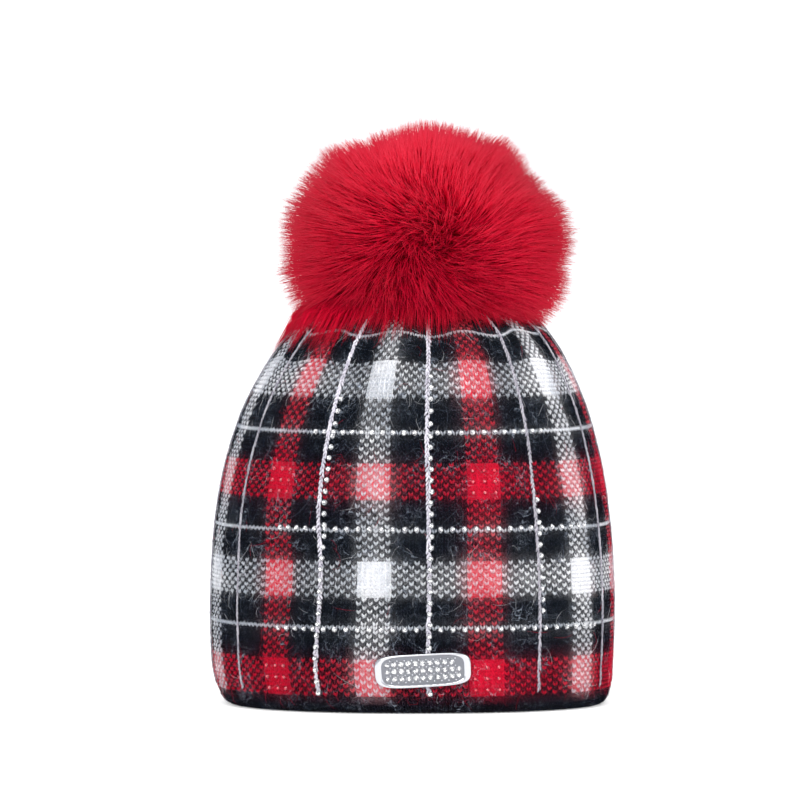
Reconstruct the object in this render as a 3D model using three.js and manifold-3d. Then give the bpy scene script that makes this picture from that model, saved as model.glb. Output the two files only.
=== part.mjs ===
// A knitted tartan winter hat with a fur pompom and a small metal badge, standing on its hem.
// Lengths are millimetres. +Z is up, the front faces -Y, and +X is on the right seen from the front.
// The origin is the middle of the plane that the hem stands on.
import * as THREE from "three";
import { mergeVertices } from "three/addons/utils/BufferGeometryUtils.js";
import Module from "manifold-3d";

const wasm = await Module();
wasm.setup();

// Fits
const PIECE_GAP = 0.3; // between two pieces that lie on each other

// Crown, the knitted body
const CROWN_WIDTH = 176; // across the widest ring
const CROWN_DEPTH = 197; // front to back at the widest ring
const CROWN_HEIGHT = 181; // from the resting plane to the drawn-in top
const KNIT_WALL = 3; // two layers of brushed jersey
const HEM_THICKNESS = 4.6; // the turned edge at the opening
const HEM_TURN_HEIGHT = 9; // height over which the turned edge thins to the wall
const GIRTH_POWER = 2.2; // 2 is an ellipse, more is flatter at the front, back and sides
const GATHER_DEPTH = 1.5; // of the soft pleats where the top is drawn in
const CROWN_COLUMNS = 48;
const OUTER_RINGS = 20;
const INNER_RINGS = 10;
const GIRTH_SAMPLES = 720; // steps in which the length round the widest ring is measured

// The crown's outside from the hem up. height is a share of CROWN_HEIGHT, halfWidth and lean (how far the
// section's middle lies towards +X) are shares of half CROWN_WIDTH, gather is a share of GATHER_DEPTH, and
// round is 1 where the section has become a circle.
const CROWN_SECTIONS = [
  { height: 0, halfWidth: 0.912, lean: 0.018, gather: 0, round: 0 },
  { height: 0.006, halfWidth: 0.936, lean: 0.016, gather: 0, round: 0 },
  { height: 0.02, halfWidth: 0.96, lean: 0.012, gather: 0, round: 0 },
  { height: 0.048, halfWidth: 0.977, lean: 0.008, gather: 0, round: 0 },
  { height: 0.1, halfWidth: 0.991, lean: 0, gather: 0, round: 0 },
  { height: 0.227, halfWidth: 1, lean: 0, gather: 0, round: 0 },
  { height: 0.343, halfWidth: 0.993, lean: 0, gather: 0, round: 0 },
  { height: 0.459, halfWidth: 0.973, lean: 0, gather: 0, round: 0 },
  { height: 0.575, halfWidth: 0.933, lean: 0.003, gather: 0, round: 0 },
  { height: 0.691, halfWidth: 0.866, lean: 0.01, gather: 0.05, round: 0 },
  { height: 0.749, halfWidth: 0.818, lean: 0.015, gather: 0.15, round: 0 },
  { height: 0.807, halfWidth: 0.759, lean: 0.022, gather: 0.35, round: 0 },
  { height: 0.866, halfWidth: 0.685, lean: 0.03, gather: 0.65, round: 0.05 },
  { height: 0.912, halfWidth: 0.605, lean: 0.036, gather: 1, round: 0.1 },
  { height: 0.95, halfWidth: 0.495, lean: 0.04, gather: 1, round: 0.25 },
  { height: 0.978, halfWidth: 0.36, lean: 0.042, gather: 0.8, round: 0.5 },
  { height: 0.994, halfWidth: 0.2, lean: 0.042, gather: 0.4, round: 0.85 },
];
const TOP_LEAN = 0.042; // of the hole in the top, as a share of half CROWN_WIDTH

// Overcheck cords, the chain-stitched lines that run up the crown
const CORD_COUNT = 12;
const CORD_WIDTH = 2.2;
const CORD_THICKNESS = 1.1;
const CORD_SIDES = 5;
const FIRST_CORD_DISTANCE = 7.7; // of the first cord from the middle of the front, along the girth
const CORD_START_HEIGHT = 9.5; // above the resting plane
const CORD_END_RADIUS = 15; // from the hole in the top

// Pompom, fur locks on a core
const POMPOM_WIDTH = 125;
const POMPOM_DEPTH = 125;
const POMPOM_RISE = 57; // from its middle to the tips at the top
const POMPOM_DROP = 60; // from its middle to the tips at the bottom, were the crown not there
const POMPOM_CENTRE_HEIGHT = 19; // of its middle above the crown's top
const POMPOM_SHIFT = 1; // of its middle from the hole in the crown, towards +X
const POMPOM_CORE_RADIUS = 42;
const LOCK_COUNT = 60;
const LOCK_RADIUS = 13;
const LOCK_DROOP = 4; // of a level lock's tip
const LOCK_LOWEST = 0.84; // sine of how far below level the lowest locks point
const LOCK_SIDES = 5;
// How thick a lock is along its length, both as shares: of the lock's length and of LOCK_RADIUS.
const LOCK_PROFILE = [
  { along: 0, radius: 0 },
  { along: 0.76, radius: 1 },
  { along: 0.93, radius: 0.62 },
  { along: 1, radius: 0 },
];

// Pompom button, the hidden post that holds the pompom on the crown
const BUTTON_RADIUS = 9;
const BUTTON_THICKNESS = 2.4;
const POST_RADIUS = 2;
const POST_REACH = 12; // of the post above the crown's top, into the core
const POST_SIDES = 16;

// Badge, a plain plate with a raised rim and a field of small stones
const BADGE_LENGTH = 42;
const BADGE_HEIGHT = 14.5;
const BADGE_WEB = 0.9; // metal left over the channel for the cord
const BADGE_RIM = 0.6; // above the field
const BADGE_CORNER_POWER = 4.5; // 2 is an ellipse, more is squarer
const BADGE_SHIFT = 4.4; // of its middle from the middle of the front, along the girth
const BADGE_CENTRE_HEIGHT = 19.5; // above the resting plane
const BADGE_TILT = 3; // degrees, the +X end up
const BADGE_POINTS = 28;
// The plate's rings from its middle out. reach is a share of the outline, rim of BADGE_RIM.
const BADGE_RINGS = [
  { reach: 0.3, rim: 0 },
  { reach: 0.8, rim: 0 },
  { reach: 0.86, rim: 1 },
  { reach: 0.96, rim: 1 },
  { reach: 1, rim: 0.4 },
];
const BADGE_UNDER_REACHES = [0.3, 0.7, 1];
const STONE_RADIUS = 1.3;
const STONE_RISE = 0.75; // of the table above the field
const STONE_SINK = 0.4;
const STONE_TABLE = 0.58; // share of STONE_RADIUS
const STONE_FACETS = 8;
const STONE_PITCH = 3.1;
const STONE_COLUMNS = 9;
const STONE_ROWS = 3;

// Finishes
const KNIT_BLACK = new THREE.MeshStandardMaterial({ color: 0x1e2226, roughness: 0.95, metalness: 0 });
const YARN_WHITE = new THREE.MeshStandardMaterial({ color: 0xd9d8de, roughness: 0.85, metalness: 0 });
const FUR_RED = new THREE.MeshStandardMaterial({ color: 0xb5152b, roughness: 0.8, metalness: 0 });
const BUTTON_PLASTIC = new THREE.MeshStandardMaterial({ color: 0x16181b, roughness: 0.5, metalness: 0 });
const BADGE_SILVER = new THREE.MeshStandardMaterial({ color: 0xdcdde0, roughness: 0.25, metalness: 1 });

const HALF_WIDTH = CROWN_WIDTH / 2;
const HALF_DEPTH = CROWN_DEPTH / 2;
const HOLE_RADIUS = POST_RADIUS + PIECE_GAP;
const UP = new THREE.Vector3(0, 0, 1);

// Solids from geometries, and back

function solidOf(geometry) {
  const bare = geometry.clone();
  bare.deleteAttribute("normal");
  bare.deleteAttribute("uv");
  const merged = mergeVertices(bare, 1e-4);
  const mesh = new wasm.Mesh({
    numProp: 3,
    vertProperties: new Float32Array(merged.attributes.position.array),
    triVerts: new Uint32Array(merged.index.array),
  });
  return new wasm.Manifold(mesh);
}

function geometryOf(solid) {
  const mesh = solid.getMesh();
  const geometry = new THREE.BufferGeometry();
  geometry.setAttribute("position", new THREE.BufferAttribute(mesh.vertProperties, 3));
  geometry.setIndex(new THREE.BufferAttribute(mesh.triVerts, 1));
  geometry.computeVertexNormals();
  return geometry;
}

function namedMesh(name, geometry, material) {
  const mesh = new THREE.Mesh(geometry, material);
  mesh.name = name;
  return mesh;
}

// A skin over rings of equally many points. Each ring turns anticlockwise seen against the way the rings
// go. A looped skin joins its last ring to its first, and any other is capped at both ends.
function loft(rings, looped) {
  const columns = rings[0].length;
  const corners = [];
  const spans = looped ? rings.length : rings.length - 1;
  for (let span = 0; span < spans; span++) {
    const low = span * columns;
    const high = ((span + 1) % rings.length) * columns;
    for (let column = 0; column < columns; column++) {
      const next = (column + 1) % columns;
      corners.push(low + column, low + next, high + next);
      corners.push(low + column, high + next, high + column);
    }
  }
  if (!looped) {
    const last = (rings.length - 1) * columns;
    for (let column = 1; column < columns - 1; column++) {
      corners.push(0, column + 1, column);
      corners.push(last, last + column, last + column + 1);
    }
  }
  const geometry = new THREE.BufferGeometry().setFromPoints(rings.flat());
  geometry.setIndex(corners);
  geometry.computeVertexNormals();
  return geometry;
}

// Crown surface

// The widest ring as a rounded box power curve: its radius at an angle from the front towards +X.
function girthRadius(angle) {
  const across = Math.abs(Math.sin(angle) / HALF_WIDTH) ** GIRTH_POWER;
  const along = Math.abs(Math.cos(angle) / HALF_DEPTH) ** GIRTH_POWER;
  return (across + along) ** (-1 / GIRTH_POWER);
}

function girthPoint(angle) {
  const radius = girthRadius(angle);
  return new THREE.Vector2(radius * Math.sin(angle), -radius * Math.cos(angle));
}

// The length round the widest ring up to each of GIRTH_SAMPLES equal angles.
const girthLengths = [0];
for (let i = 1; i <= GIRTH_SAMPLES; i++) {
  const from = girthPoint(((i - 1) / GIRTH_SAMPLES) * 2 * Math.PI);
  const to = girthPoint((i / GIRTH_SAMPLES) * 2 * Math.PI);
  girthLengths.push(girthLengths[i - 1] + from.distanceTo(to));
}
const GIRTH = girthLengths[GIRTH_SAMPLES];

// The angle that lies a length round the widest ring from the middle of the front.
function angleAt(length) {
  const target = ((length % GIRTH) + GIRTH) % GIRTH;
  const above = Math.max(1, girthLengths.findIndex((l) => l >= target));
  const low = girthLengths[above - 1];
  const share = (target - low) / (girthLengths[above] - low);
  return ((above - 1 + share) / GIRTH_SAMPLES) * 2 * Math.PI;
}

// The sections as two smooth curves over the same parameter, from 0 at the hem to 1 at the hole.
const holeSection = {
  height: 1,
  halfWidth: HOLE_RADIUS / HALF_WIDTH,
  lean: TOP_LEAN,
  gather: 0,
  round: 1,
};
const sections = [...CROWN_SECTIONS, holeSection];
const outlineCurve = new THREE.CatmullRomCurve3(
  sections.map((s) => new THREE.Vector3(s.halfWidth * HALF_WIDTH, s.height * CROWN_HEIGHT, 0)),
  false,
  "centripetal",
);
const shapeCurve = new THREE.CatmullRomCurve3(
  sections.map((s) => new THREE.Vector3(s.lean * HALF_WIDTH, s.gather * GATHER_DEPTH, s.round)),
  false,
  "catmullrom",
  0.2,
);

// A point of the crown's outside, a length round the girth and a share of the way up its outline.
function crownPoint(length, rise) {
  const outline = outlineCurve.getPoint(rise);
  const shape = shapeCurve.getPoint(rise);
  const angle = angleAt(length);
  const wide = girthPoint(angle).multiplyScalar(outline.x / HALF_WIDTH);
  const circle = new THREE.Vector2(Math.sin(angle), -Math.cos(angle)).multiplyScalar(outline.x);
  const flat = wide.lerp(circle, THREE.MathUtils.clamp(shape.z, 0, 1));
  const pleat = Math.cos((2 * Math.PI * CORD_COUNT * (length - FIRST_CORD_DISTANCE)) / GIRTH);
  flat.multiplyScalar(1 + (Math.max(0, shape.y) * (pleat - 1)) / (2 * Math.max(outline.x, GATHER_DEPTH)));
  return new THREE.Vector3(flat.x + shape.x, flat.y, outline.y);
}

// The way round, the way up and the way out at a point of the crown, each a unit vector.
const AXIS_STEP = 1e-3; // share of the girth and of the rise
function crownAxes(length, rise) {
  const low = Math.max(0, rise - AXIS_STEP);
  const high = Math.min(1, rise + AXIS_STEP);
  const around = AXIS_STEP * GIRTH;
  const round = crownPoint(length + around, rise).sub(crownPoint(length - around, rise)).normalize();
  const up = crownPoint(length, high).sub(crownPoint(length, low)).normalize();
  const out = new THREE.Vector3().crossVectors(round, up).normalize();
  return { round, up, out };
}

function crownOffset(length, rise, around, outward) {
  const axes = crownAxes(length, rise);
  return crownPoint(length, rise).addScaledVector(axes.round, around).addScaledVector(axes.out, outward);
}

// The rise at which a rule of the outline, growing or falling all the way, reaches a value.
function riseWhere(rule, value) {
  const growing = rule(outlineCurve.getPoint(1)) > rule(outlineCurve.getPoint(0));
  let low = 0;
  let high = 1;
  for (let i = 0; i < 40; i++) {
    const middle = (low + high) / 2;
    if (rule(outlineCurve.getPoint(middle)) < value === growing) low = middle;
    else high = middle;
  }
  return (low + high) / 2;
}

const riseAtHeight = (height) => riseWhere((point) => point.y, height);
const upperRiseAtRadius = (radius) => {
  const half = (point) => (point.y < CROWN_HEIGHT / 2 ? HALF_WIDTH : point.x);
  return riseWhere(half, radius);
};

// A point of the crown's inside. The wall is level at the hem, upright at the hole and square to the
// outside between them.
function innerPoint(length, rise) {
  if (rise === 1) return crownPoint(length, 1).addScaledVector(UP, -KNIT_WALL);
  const point = crownPoint(length, rise);
  const { out } = crownAxes(length, rise);
  const turned = 1 - THREE.MathUtils.smoothstep(point.z, 0, HEM_TURN_HEIGHT);
  const level = out.clone().setZ(0).normalize();
  const inward = out.lerp(level, turned).normalize();
  return point.addScaledVector(inward, -THREE.MathUtils.lerp(KNIT_WALL, HEM_THICKNESS, turned));
}

// The rises of a surface's rings, from 0 to 1.
const evenRises = (count) => Array.from({ length: count + 1 }, (_, i) => i / count);
const crownRises = evenRises(OUTER_RINGS);

// One ring of points round the crown. The cords lie on columns of it.
function crownRing(pointAt, rise) {
  return Array.from({ length: CROWN_COLUMNS }, (_, column) =>
    pointAt(FIRST_CORD_DISTANCE + (column / CROWN_COLUMNS) * GIRTH, rise),
  );
}

// Pieces

function makeCrown() {
  const outside = crownRises.map((rise) => crownRing(crownPoint, rise));
  const inside = evenRises(INNER_RINGS).map((rise) => crownRing(innerPoint, rise));
  return namedMesh("crown", loft([...outside, ...inside.reverse()], true), KNIT_BLACK);
}

// A cord bends where the crown's own rings are, so that it keeps its distance from the crown's faces.
const cordStart = riseAtHeight(CORD_START_HEIGHT);
const cordEnd = upperRiseAtRadius(CORD_END_RADIUS);
const cordRises = [cordStart, ...crownRises.filter((rise) => rise > cordStart && rise < cordEnd), cordEnd];
const cordLength = (index) => FIRST_CORD_DISTANCE + (index / CORD_COUNT) * GIRTH;

// A cord's rings: a flat section with its base on the crown, larger by a margin where it needs room.
function cordRings(index, margin) {
  const middle = PIECE_GAP + CORD_THICKNESS / 2;
  return cordRises.map((rise) =>
    Array.from({ length: CORD_SIDES }, (_, side) => {
      const angle = (side / CORD_SIDES - 0.25) * 2 * Math.PI;
      const around = Math.cos(angle) * (CORD_WIDTH / 2 + margin);
      const outward = middle - Math.sin(angle) * (CORD_THICKNESS / 2 + margin);
      return crownOffset(cordLength(index), rise, around, outward);
    }),
  );
}

function makeCord(index) {
  const rings = cordRings(index, 0);
  const name = "overcheck_cord_" + String(index + 1).padStart(2, "0");
  return namedMesh(name, loft(rings, false), YARN_WHITE);
}

// A repeatable number from 0 to 1 for each lock.
function scatter(index, salt) {
  const raw = Math.sin(index * 12.9898 + salt * 78.233) * 43758.5453;
  return raw - Math.floor(raw);
}

const pompomCentre = new THREE.Vector3(
  TOP_LEAN * HALF_WIDTH + POMPOM_SHIFT,
  0,
  CROWN_HEIGHT + POMPOM_CENTRE_HEIGHT,
);

// How far the fur reaches from the pompom's middle along a direction.
function furReach(direction) {
  const upright = direction.z > 0 ? POMPOM_RISE : POMPOM_DROP;
  const x = direction.x / (POMPOM_WIDTH / 2);
  const y = direction.y / (POMPOM_DEPTH / 2);
  const z = direction.z / upright;
  return 1 / Math.hypot(x, y, z);
}

// One lock, a tapered tuft along a direction, whose tip droops the more the more level it lies.
function lockSolid(direction, length) {
  const profile = LOCK_PROFILE.map((p) => new THREE.Vector2(p.radius * LOCK_RADIUS, p.along * length));
  const geometry = new THREE.LatheGeometry(profile, LOCK_SIDES);
  const turn = new THREE.Quaternion().setFromUnitVectors(new THREE.Vector3(0, 1, 0), direction);
  geometry.applyQuaternion(turn);
  const position = geometry.attributes.position;
  const point = new THREE.Vector3();
  const level = Math.hypot(direction.x, direction.y);
  for (let i = 0; i < position.count; i++) {
    point.fromBufferAttribute(position, i);
    const along = point.dot(direction) / length;
    point.z -= LOCK_DROOP * level * Math.max(0, along) ** 3;
    position.setXYZ(i, point.x, point.y, point.z);
  }
  geometry.translate(pompomCentre.x, pompomCentre.y, pompomCentre.z);
  return solidOf(geometry);
}

// The space that the crown and its cords take up, closed at both ends.
function crownEnvelope() {
  const outward = PIECE_GAP + CORD_THICKNESS + PIECE_GAP;
  const offsetPoint = (length, rise) => crownOffset(length, rise, 0, outward);
  const upper = crownRises.filter((rise) => crownPoint(0, rise).z > CROWN_HEIGHT / 2);
  return solidOf(loft(upper.map((rise) => crownRing(offsetPoint, rise)), false));
}

function makePompom() {
  const core = new THREE.SphereGeometry(1, 16, 10);
  const flatness = POMPOM_RISE / (POMPOM_WIDTH / 2);
  core.rotateX(Math.PI / 2);
  core.scale(POMPOM_CORE_RADIUS, POMPOM_CORE_RADIUS, POMPOM_CORE_RADIUS * flatness);
  core.translate(pompomCentre.x, pompomCentre.y, pompomCentre.z);
  let solid = solidOf(core);
  const goldenAngle = Math.PI * (3 - Math.sqrt(5));
  for (let i = 0; i < LOCK_COUNT; i++) {
    const z = 1 - ((1 + LOCK_LOWEST) * (i + 0.5)) / LOCK_COUNT;
    const level = Math.sqrt(1 - z * z);
    const turn = i * goldenAngle;
    const direction = new THREE.Vector3(level * Math.cos(turn), level * Math.sin(turn), z);
    const length = furReach(direction) * (0.95 + 0.09 * scatter(i, 1));
    solid = solid.add(lockSolid(direction, length));
  }
  const socketRadius = POST_RADIUS + PIECE_GAP;
  const socketTop = POST_REACH + PIECE_GAP;
  const socket = new THREE.CylinderGeometry(socketRadius, socketRadius, 2 * socketTop, POST_SIDES);
  socket.rotateX(Math.PI / 2);
  socket.translate(TOP_LEAN * HALF_WIDTH, 0, CROWN_HEIGHT);
  solid = solid.subtract(crownEnvelope()).subtract(solidOf(socket));
  return namedMesh("pompom", geometryOf(solid), FUR_RED);
}

function makeButton() {
  const underTop = innerPoint(0, upperRiseAtRadius(BUTTON_RADIUS + KNIT_WALL)).z - PIECE_GAP;
  const foot = underTop - BUTTON_THICKNESS;
  const top = CROWN_HEIGHT + POST_REACH;
  const profile = [
    new THREE.Vector2(0, foot),
    new THREE.Vector2(BUTTON_RADIUS, foot),
    new THREE.Vector2(BUTTON_RADIUS, underTop),
    new THREE.Vector2(POST_RADIUS, underTop),
    new THREE.Vector2(POST_RADIUS, top),
    new THREE.Vector2(0, top),
  ];
  const geometry = new THREE.LatheGeometry(profile, POST_SIDES);
  geometry.rotateX(Math.PI / 2);
  geometry.translate(TOP_LEAN * HALF_WIDTH, 0, 0);
  return namedMesh("pompom_button", geometry, BUTTON_PLASTIC);
}

// A point of the badge: a length and a height from its middle, and a distance out of the crown.
function badgePoint(along, above, outward) {
  const tilt = THREE.MathUtils.degToRad(BADGE_TILT);
  const level = along * Math.cos(tilt) - above * Math.sin(tilt);
  const height = BADGE_CENTRE_HEIGHT + along * Math.sin(tilt) + above * Math.cos(tilt);
  return crownOffset(BADGE_SHIFT + level, riseAtHeight(height), 0, outward);
}

function badgeOutline(reach) {
  return Array.from({ length: BADGE_POINTS }, (_, i) => {
    const angle = (i / BADGE_POINTS) * 2 * Math.PI;
    const across = Math.abs(Math.cos(angle)) ** BADGE_CORNER_POWER;
    const up = Math.abs(Math.sin(angle)) ** BADGE_CORNER_POWER;
    const radius = (reach / 2) * (across + up) ** (-1 / BADGE_CORNER_POWER);
    return [radius * Math.cos(angle) * BADGE_LENGTH, radius * Math.sin(angle) * BADGE_HEIGHT];
  });
}

const badgeField = PIECE_GAP + CORD_THICKNESS + PIECE_GAP + BADGE_WEB;

// One stone, set square to the badge's field at a place on it.
function stoneSolid(along, above) {
  const height = STONE_RISE + STONE_SINK;
  const geometry = new THREE.CylinderGeometry(STONE_RADIUS * STONE_TABLE, STONE_RADIUS, height, STONE_FACETS);
  const foot = badgePoint(along, above, badgeField - STONE_SINK);
  const table = badgePoint(along, above, badgeField + STONE_RISE);
  const out = table.clone().sub(foot).normalize();
  geometry.applyQuaternion(new THREE.Quaternion().setFromUnitVectors(new THREE.Vector3(0, 1, 0), out));
  const middle = foot.add(table).multiplyScalar(0.5);
  geometry.translate(middle.x, middle.y, middle.z);
  return solidOf(geometry);
}

function makeBadge() {
  const top = BADGE_RINGS.map((ring) =>
    badgeOutline(ring.reach).map(([a, b]) => badgePoint(a, b, badgeField + ring.rim * BADGE_RIM)),
  ).reverse();
  const under = BADGE_UNDER_REACHES.map((reach) =>
    badgeOutline(reach).map(([a, b]) => badgePoint(a, b, PIECE_GAP)),
  );
  let solid = solidOf(loft([...under, ...top], false));
  for (let row = 0; row < STONE_ROWS; row++) {
    const above = (row - (STONE_ROWS - 1) / 2) * STONE_PITCH;
    for (let column = 0; column < STONE_COLUMNS; column++) {
      const along = (column - (STONE_COLUMNS - 1) / 2) * STONE_PITCH;
      solid = solid.add(stoneSolid(along, above));
    }
  }
  const channel = solidOf(loft(cordRings(0, PIECE_GAP), false));
  return namedMesh("badge", geometryOf(solid.subtract(channel)), BADGE_SILVER);
}

const hat = new THREE.Group();
hat.add(makeCrown());
for (let index = 0; index < CORD_COUNT; index++) hat.add(makeCord(index));
hat.add(makePompom(), makeButton(), makeBadge());

export default hat;
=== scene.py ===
"""Looks for a knitted tartan hat with a fur pompom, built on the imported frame.

Lengths are metres in the frame's own axes: +Z is up, the front faces -Y and +X is on the right seen
from the front. The hat stands on its hem at z = 0.
"""

import logging
import math
from dataclasses import dataclass, field
from enum import Enum, IntEnum
from typing import Sequence

import bmesh
import bpy
import numpy as np
from mathutils import Matrix, Vector


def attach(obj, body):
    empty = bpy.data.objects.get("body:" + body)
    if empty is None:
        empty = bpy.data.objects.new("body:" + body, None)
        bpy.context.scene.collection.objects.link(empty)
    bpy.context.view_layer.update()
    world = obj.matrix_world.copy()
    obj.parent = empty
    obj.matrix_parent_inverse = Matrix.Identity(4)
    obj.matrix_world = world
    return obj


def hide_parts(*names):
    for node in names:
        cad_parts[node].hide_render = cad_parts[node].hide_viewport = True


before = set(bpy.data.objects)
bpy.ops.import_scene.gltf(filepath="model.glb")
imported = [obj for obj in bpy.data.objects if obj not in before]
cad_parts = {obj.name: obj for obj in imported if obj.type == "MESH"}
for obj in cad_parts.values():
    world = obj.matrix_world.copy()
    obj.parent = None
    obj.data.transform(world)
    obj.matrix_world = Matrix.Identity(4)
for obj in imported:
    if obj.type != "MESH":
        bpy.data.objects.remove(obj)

LOG = logging.getLogger("hat")
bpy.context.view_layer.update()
MM = 0.001
PIECE_GAP = 0.3 * MM


class Yarn(IntEnum):
    """The three yarns of the tartan."""

    BLACK = 0
    WHITE = 1
    RED = 2


class Slot(Enum):
    """The record's material slots."""

    KNIT = "tartan_knit"
    WHITE_YARN = "white_yarn"
    RED_YARN = "red_yarn"
    FUR = "red_fur"
    PLASTIC = "button_plastic"
    SILVER = "badge_silver"
    CRYSTAL = "crystal"


# Colours and small maths


def linear(red: int, green: int, blue: int) -> tuple[float, float, float, float]:
    """A display colour of 0 to 255 as linear light.

    Args:
        red: The red share.
        green: The green share.
        blue: The blue share.

    Returns:
        Red, green, blue and an alpha of 1.
    """
    shares = [c / 255 for c in (red, green, blue)]
    light = [c / 12.92 if c <= 0.04045 else ((c + 0.055) / 1.055) ** 2.4 for c in shares]
    return (light[0], light[1], light[2], 1.0)


def smoothstep(value: np.ndarray, low: float, high: float) -> np.ndarray:
    """A smooth change from 0 at low to 1 at high."""
    share = np.clip((value - low) / (high - low), 0, 1)
    return share * share * (3 - 2 * share)


def unit(vectors: np.ndarray) -> np.ndarray:
    """The vectors of the last axis, each made one long."""
    length = np.linalg.norm(vectors, axis=-1, keepdims=True)
    return vectors / np.maximum(length, 1e-12)


# Shapes that are copied many times


@dataclass
class Shape:
    """A small closed shape of triangles, the pattern for many copies."""

    points: np.ndarray
    faces: np.ndarray

    @classmethod
    def from_bmesh(cls, bm: bmesh.types.BMesh) -> "Shape":
        """Reads a shape from a bmesh, as triangles that face outwards, and frees the bmesh.

        Args:
            bm: The bmesh that holds the closed shape.

        Returns:
            The shape.
        """
        bmesh.ops.triangulate(bm, faces=bm.faces[:])
        bmesh.ops.recalc_face_normals(bm, faces=bm.faces[:])
        bm.verts.index_update()
        points = np.array([v.co[:] for v in bm.verts])
        faces = np.array([[v.index for v in f.verts] for f in bm.faces])
        bm.free()
        return cls(points, faces)


def leg_shape() -> Shape:
    """One leg of a knit stitch: a flat diamond with a raised crest.

    Returns:
        The leg, from -1 to 1 along x and y, with its crest at z = 1.
    """
    bm = bmesh.new()
    bmesh.ops.create_circle(bm, cap_ends=True, radius=1, segments=4)
    poked = bmesh.ops.poke(bm, faces=bm.faces[:], offset=0, center_mode="MEAN")
    for crest in poked["verts"]:
        crest.co = (0, -0.12, 1)
    rim = [e for e in bm.edges if e.is_boundary]
    bmesh.ops.contextual_create(bm, geom=rim)
    return Shape.from_bmesh(bm)


def ridge_shape() -> Shape:
    """One leg of a dark stitch, which shows little: a ridge of four faces.

    Returns:
        The leg, from -1 to 1 along x and y, with its ridge at z = 1.
    """
    bm = bmesh.new()
    bmesh.ops.create_cone(bm, cap_ends=True, segments=3, radius1=1, radius2=0, depth=1)
    bmesh.ops.remove_doubles(bm, verts=bm.verts[:], dist=1e-5)
    corners = ((0, -1, 0.75), (0, 1, 0.9), (-1, 0.1, 0), (1, -0.1, 0))
    for vert, corner in zip(bm.verts, corners):
        vert.co = corner
    return Shape.from_bmesh(bm)


def bead_shape() -> Shape:
    """A round bead of twenty faces, for the links of a chain stitch."""
    bm = bmesh.new()
    bmesh.ops.create_icosphere(bm, subdivisions=1, radius=1)
    return Shape.from_bmesh(bm)


def strand_shape(spans: int) -> Shape:
    """A three-sided strand that ends in a point.

    Args:
        spans: How many lengths it has, so that it can bend between them.

    Returns:
        The strand: x and y are places on a circle of radius 1, and z counts the spans.
    """
    bm = bmesh.new()
    bmesh.ops.create_cone(bm, cap_ends=True, segments=3, radius1=1, radius2=0, depth=spans)
    bmesh.ops.translate(bm, verts=bm.verts[:], vec=(0, 0, spans / 2))
    for span in range(1, spans):
        everything = bm.verts[:] + bm.edges[:] + bm.faces[:]
        bmesh.ops.bisect_plane(bm, geom=everything, plane_co=(0, 0, span), plane_no=(0, 0, 1))
    bmesh.ops.remove_doubles(bm, verts=bm.verts[:], dist=1e-5)
    for vert in bm.verts:
        wide = math.hypot(vert.co.x, vert.co.y)
        if wide > 1e-6:
            vert.co.x, vert.co.y = vert.co.x / wide, vert.co.y / wide
    return Shape.from_bmesh(bm)


def stone_shape(sides: int, table: float, crown: float) -> Shape:
    """A cut stone with a flat back, a girdle, a ring of facets and a table.

    Args:
        sides: How many facets go round.
        table: The table's radius, as a share of the stone's.
        crown: The height, as a share of the stone's radius.

    Returns:
        The stone, with its back at z = 0 and a radius of 1.
    """
    bm = bmesh.new()
    bmesh.ops.create_cone(bm, cap_ends=True, segments=sides, radius1=1, radius2=0.86, depth=crown * 0.45)
    bmesh.ops.translate(bm, verts=bm.verts[:], vec=(0, 0, crown * 0.225))
    top = max(bm.faces, key=lambda f: f.calc_center_median().z)
    bmesh.ops.inset_individual(bm, faces=[top], thickness=0.86 - table, depth=0)
    for vert in top.verts:
        vert.co.z = crown
    bmesh.ops.rotate(bm, verts=top.verts[:], cent=(0, 0, 0), matrix=Matrix.Rotation(math.pi / sides, 3, "Z"))
    bmesh.ops.poke(bm, faces=[top], offset=0, center_mode="MEAN")
    return Shape.from_bmesh(bm)


def painted_facet_reflections(shape: Shape, count: int, rng: np.random.Generator) -> np.ndarray:
    """Painted reflections on many stones: how bright each facet is, with two lobes of painted reflected light on the
    table and a painted mix of bright and dark facets round the rim.

    Args:
        shape: The stone, from stone_shape.
        count: How many stones there are.
        rng: The source of chance.

    Returns:
        The facets' painted reflection brightness, as stones by faces.
    """
    middle = shape.points[shape.faces].mean(axis=1)
    angle = np.arctan2(middle[:, 1], middle[:, 0])
    turn = rng.uniform(0, math.pi, (count, 1))
    # Painted reflections: two bright lobes across each table, and random bright and dark facets round the rim.
    lobes = np.clip(np.abs(np.cos(angle[None] - turn)) * 2.2 - 0.55, 0.05, 1)
    rim = rng.uniform(0.0, 0.85, (count, len(middle))) ** 1.3
    table = middle[:, 2] > shape.points[:, 2].max() * 0.97
    return np.where(table[None], lobes, rim)


def mesh_object(name: str, points: np.ndarray, faces: np.ndarray, smooth: bool = True) -> bpy.types.Object:
    """A mesh object of triangles.

    Args:
        name: The object's name.
        points: An array of places, three numbers each.
        faces: An array of corner numbers, three for each triangle.
        smooth: Whether the faces are shaded smooth.

    Returns:
        The object, at the origin.
    """
    mesh = bpy.data.meshes.new(name)
    mesh.vertices.add(len(points))
    mesh.vertices.foreach_set("co", np.ascontiguousarray(points, np.float32).ravel())
    mesh.loops.add(faces.size)
    mesh.loops.foreach_set("vertex_index", np.ascontiguousarray(faces, np.int32).ravel())
    mesh.polygons.add(len(faces))
    mesh.polygons.foreach_set("loop_start", np.arange(0, faces.size, 3, dtype=np.int32))
    mesh.polygons.foreach_set("use_smooth", np.full(len(faces), smooth))
    mesh.update(calc_edges=True)
    made = bpy.data.objects.new(name, mesh)
    bpy.context.scene.collection.objects.link(made)
    return made


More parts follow.
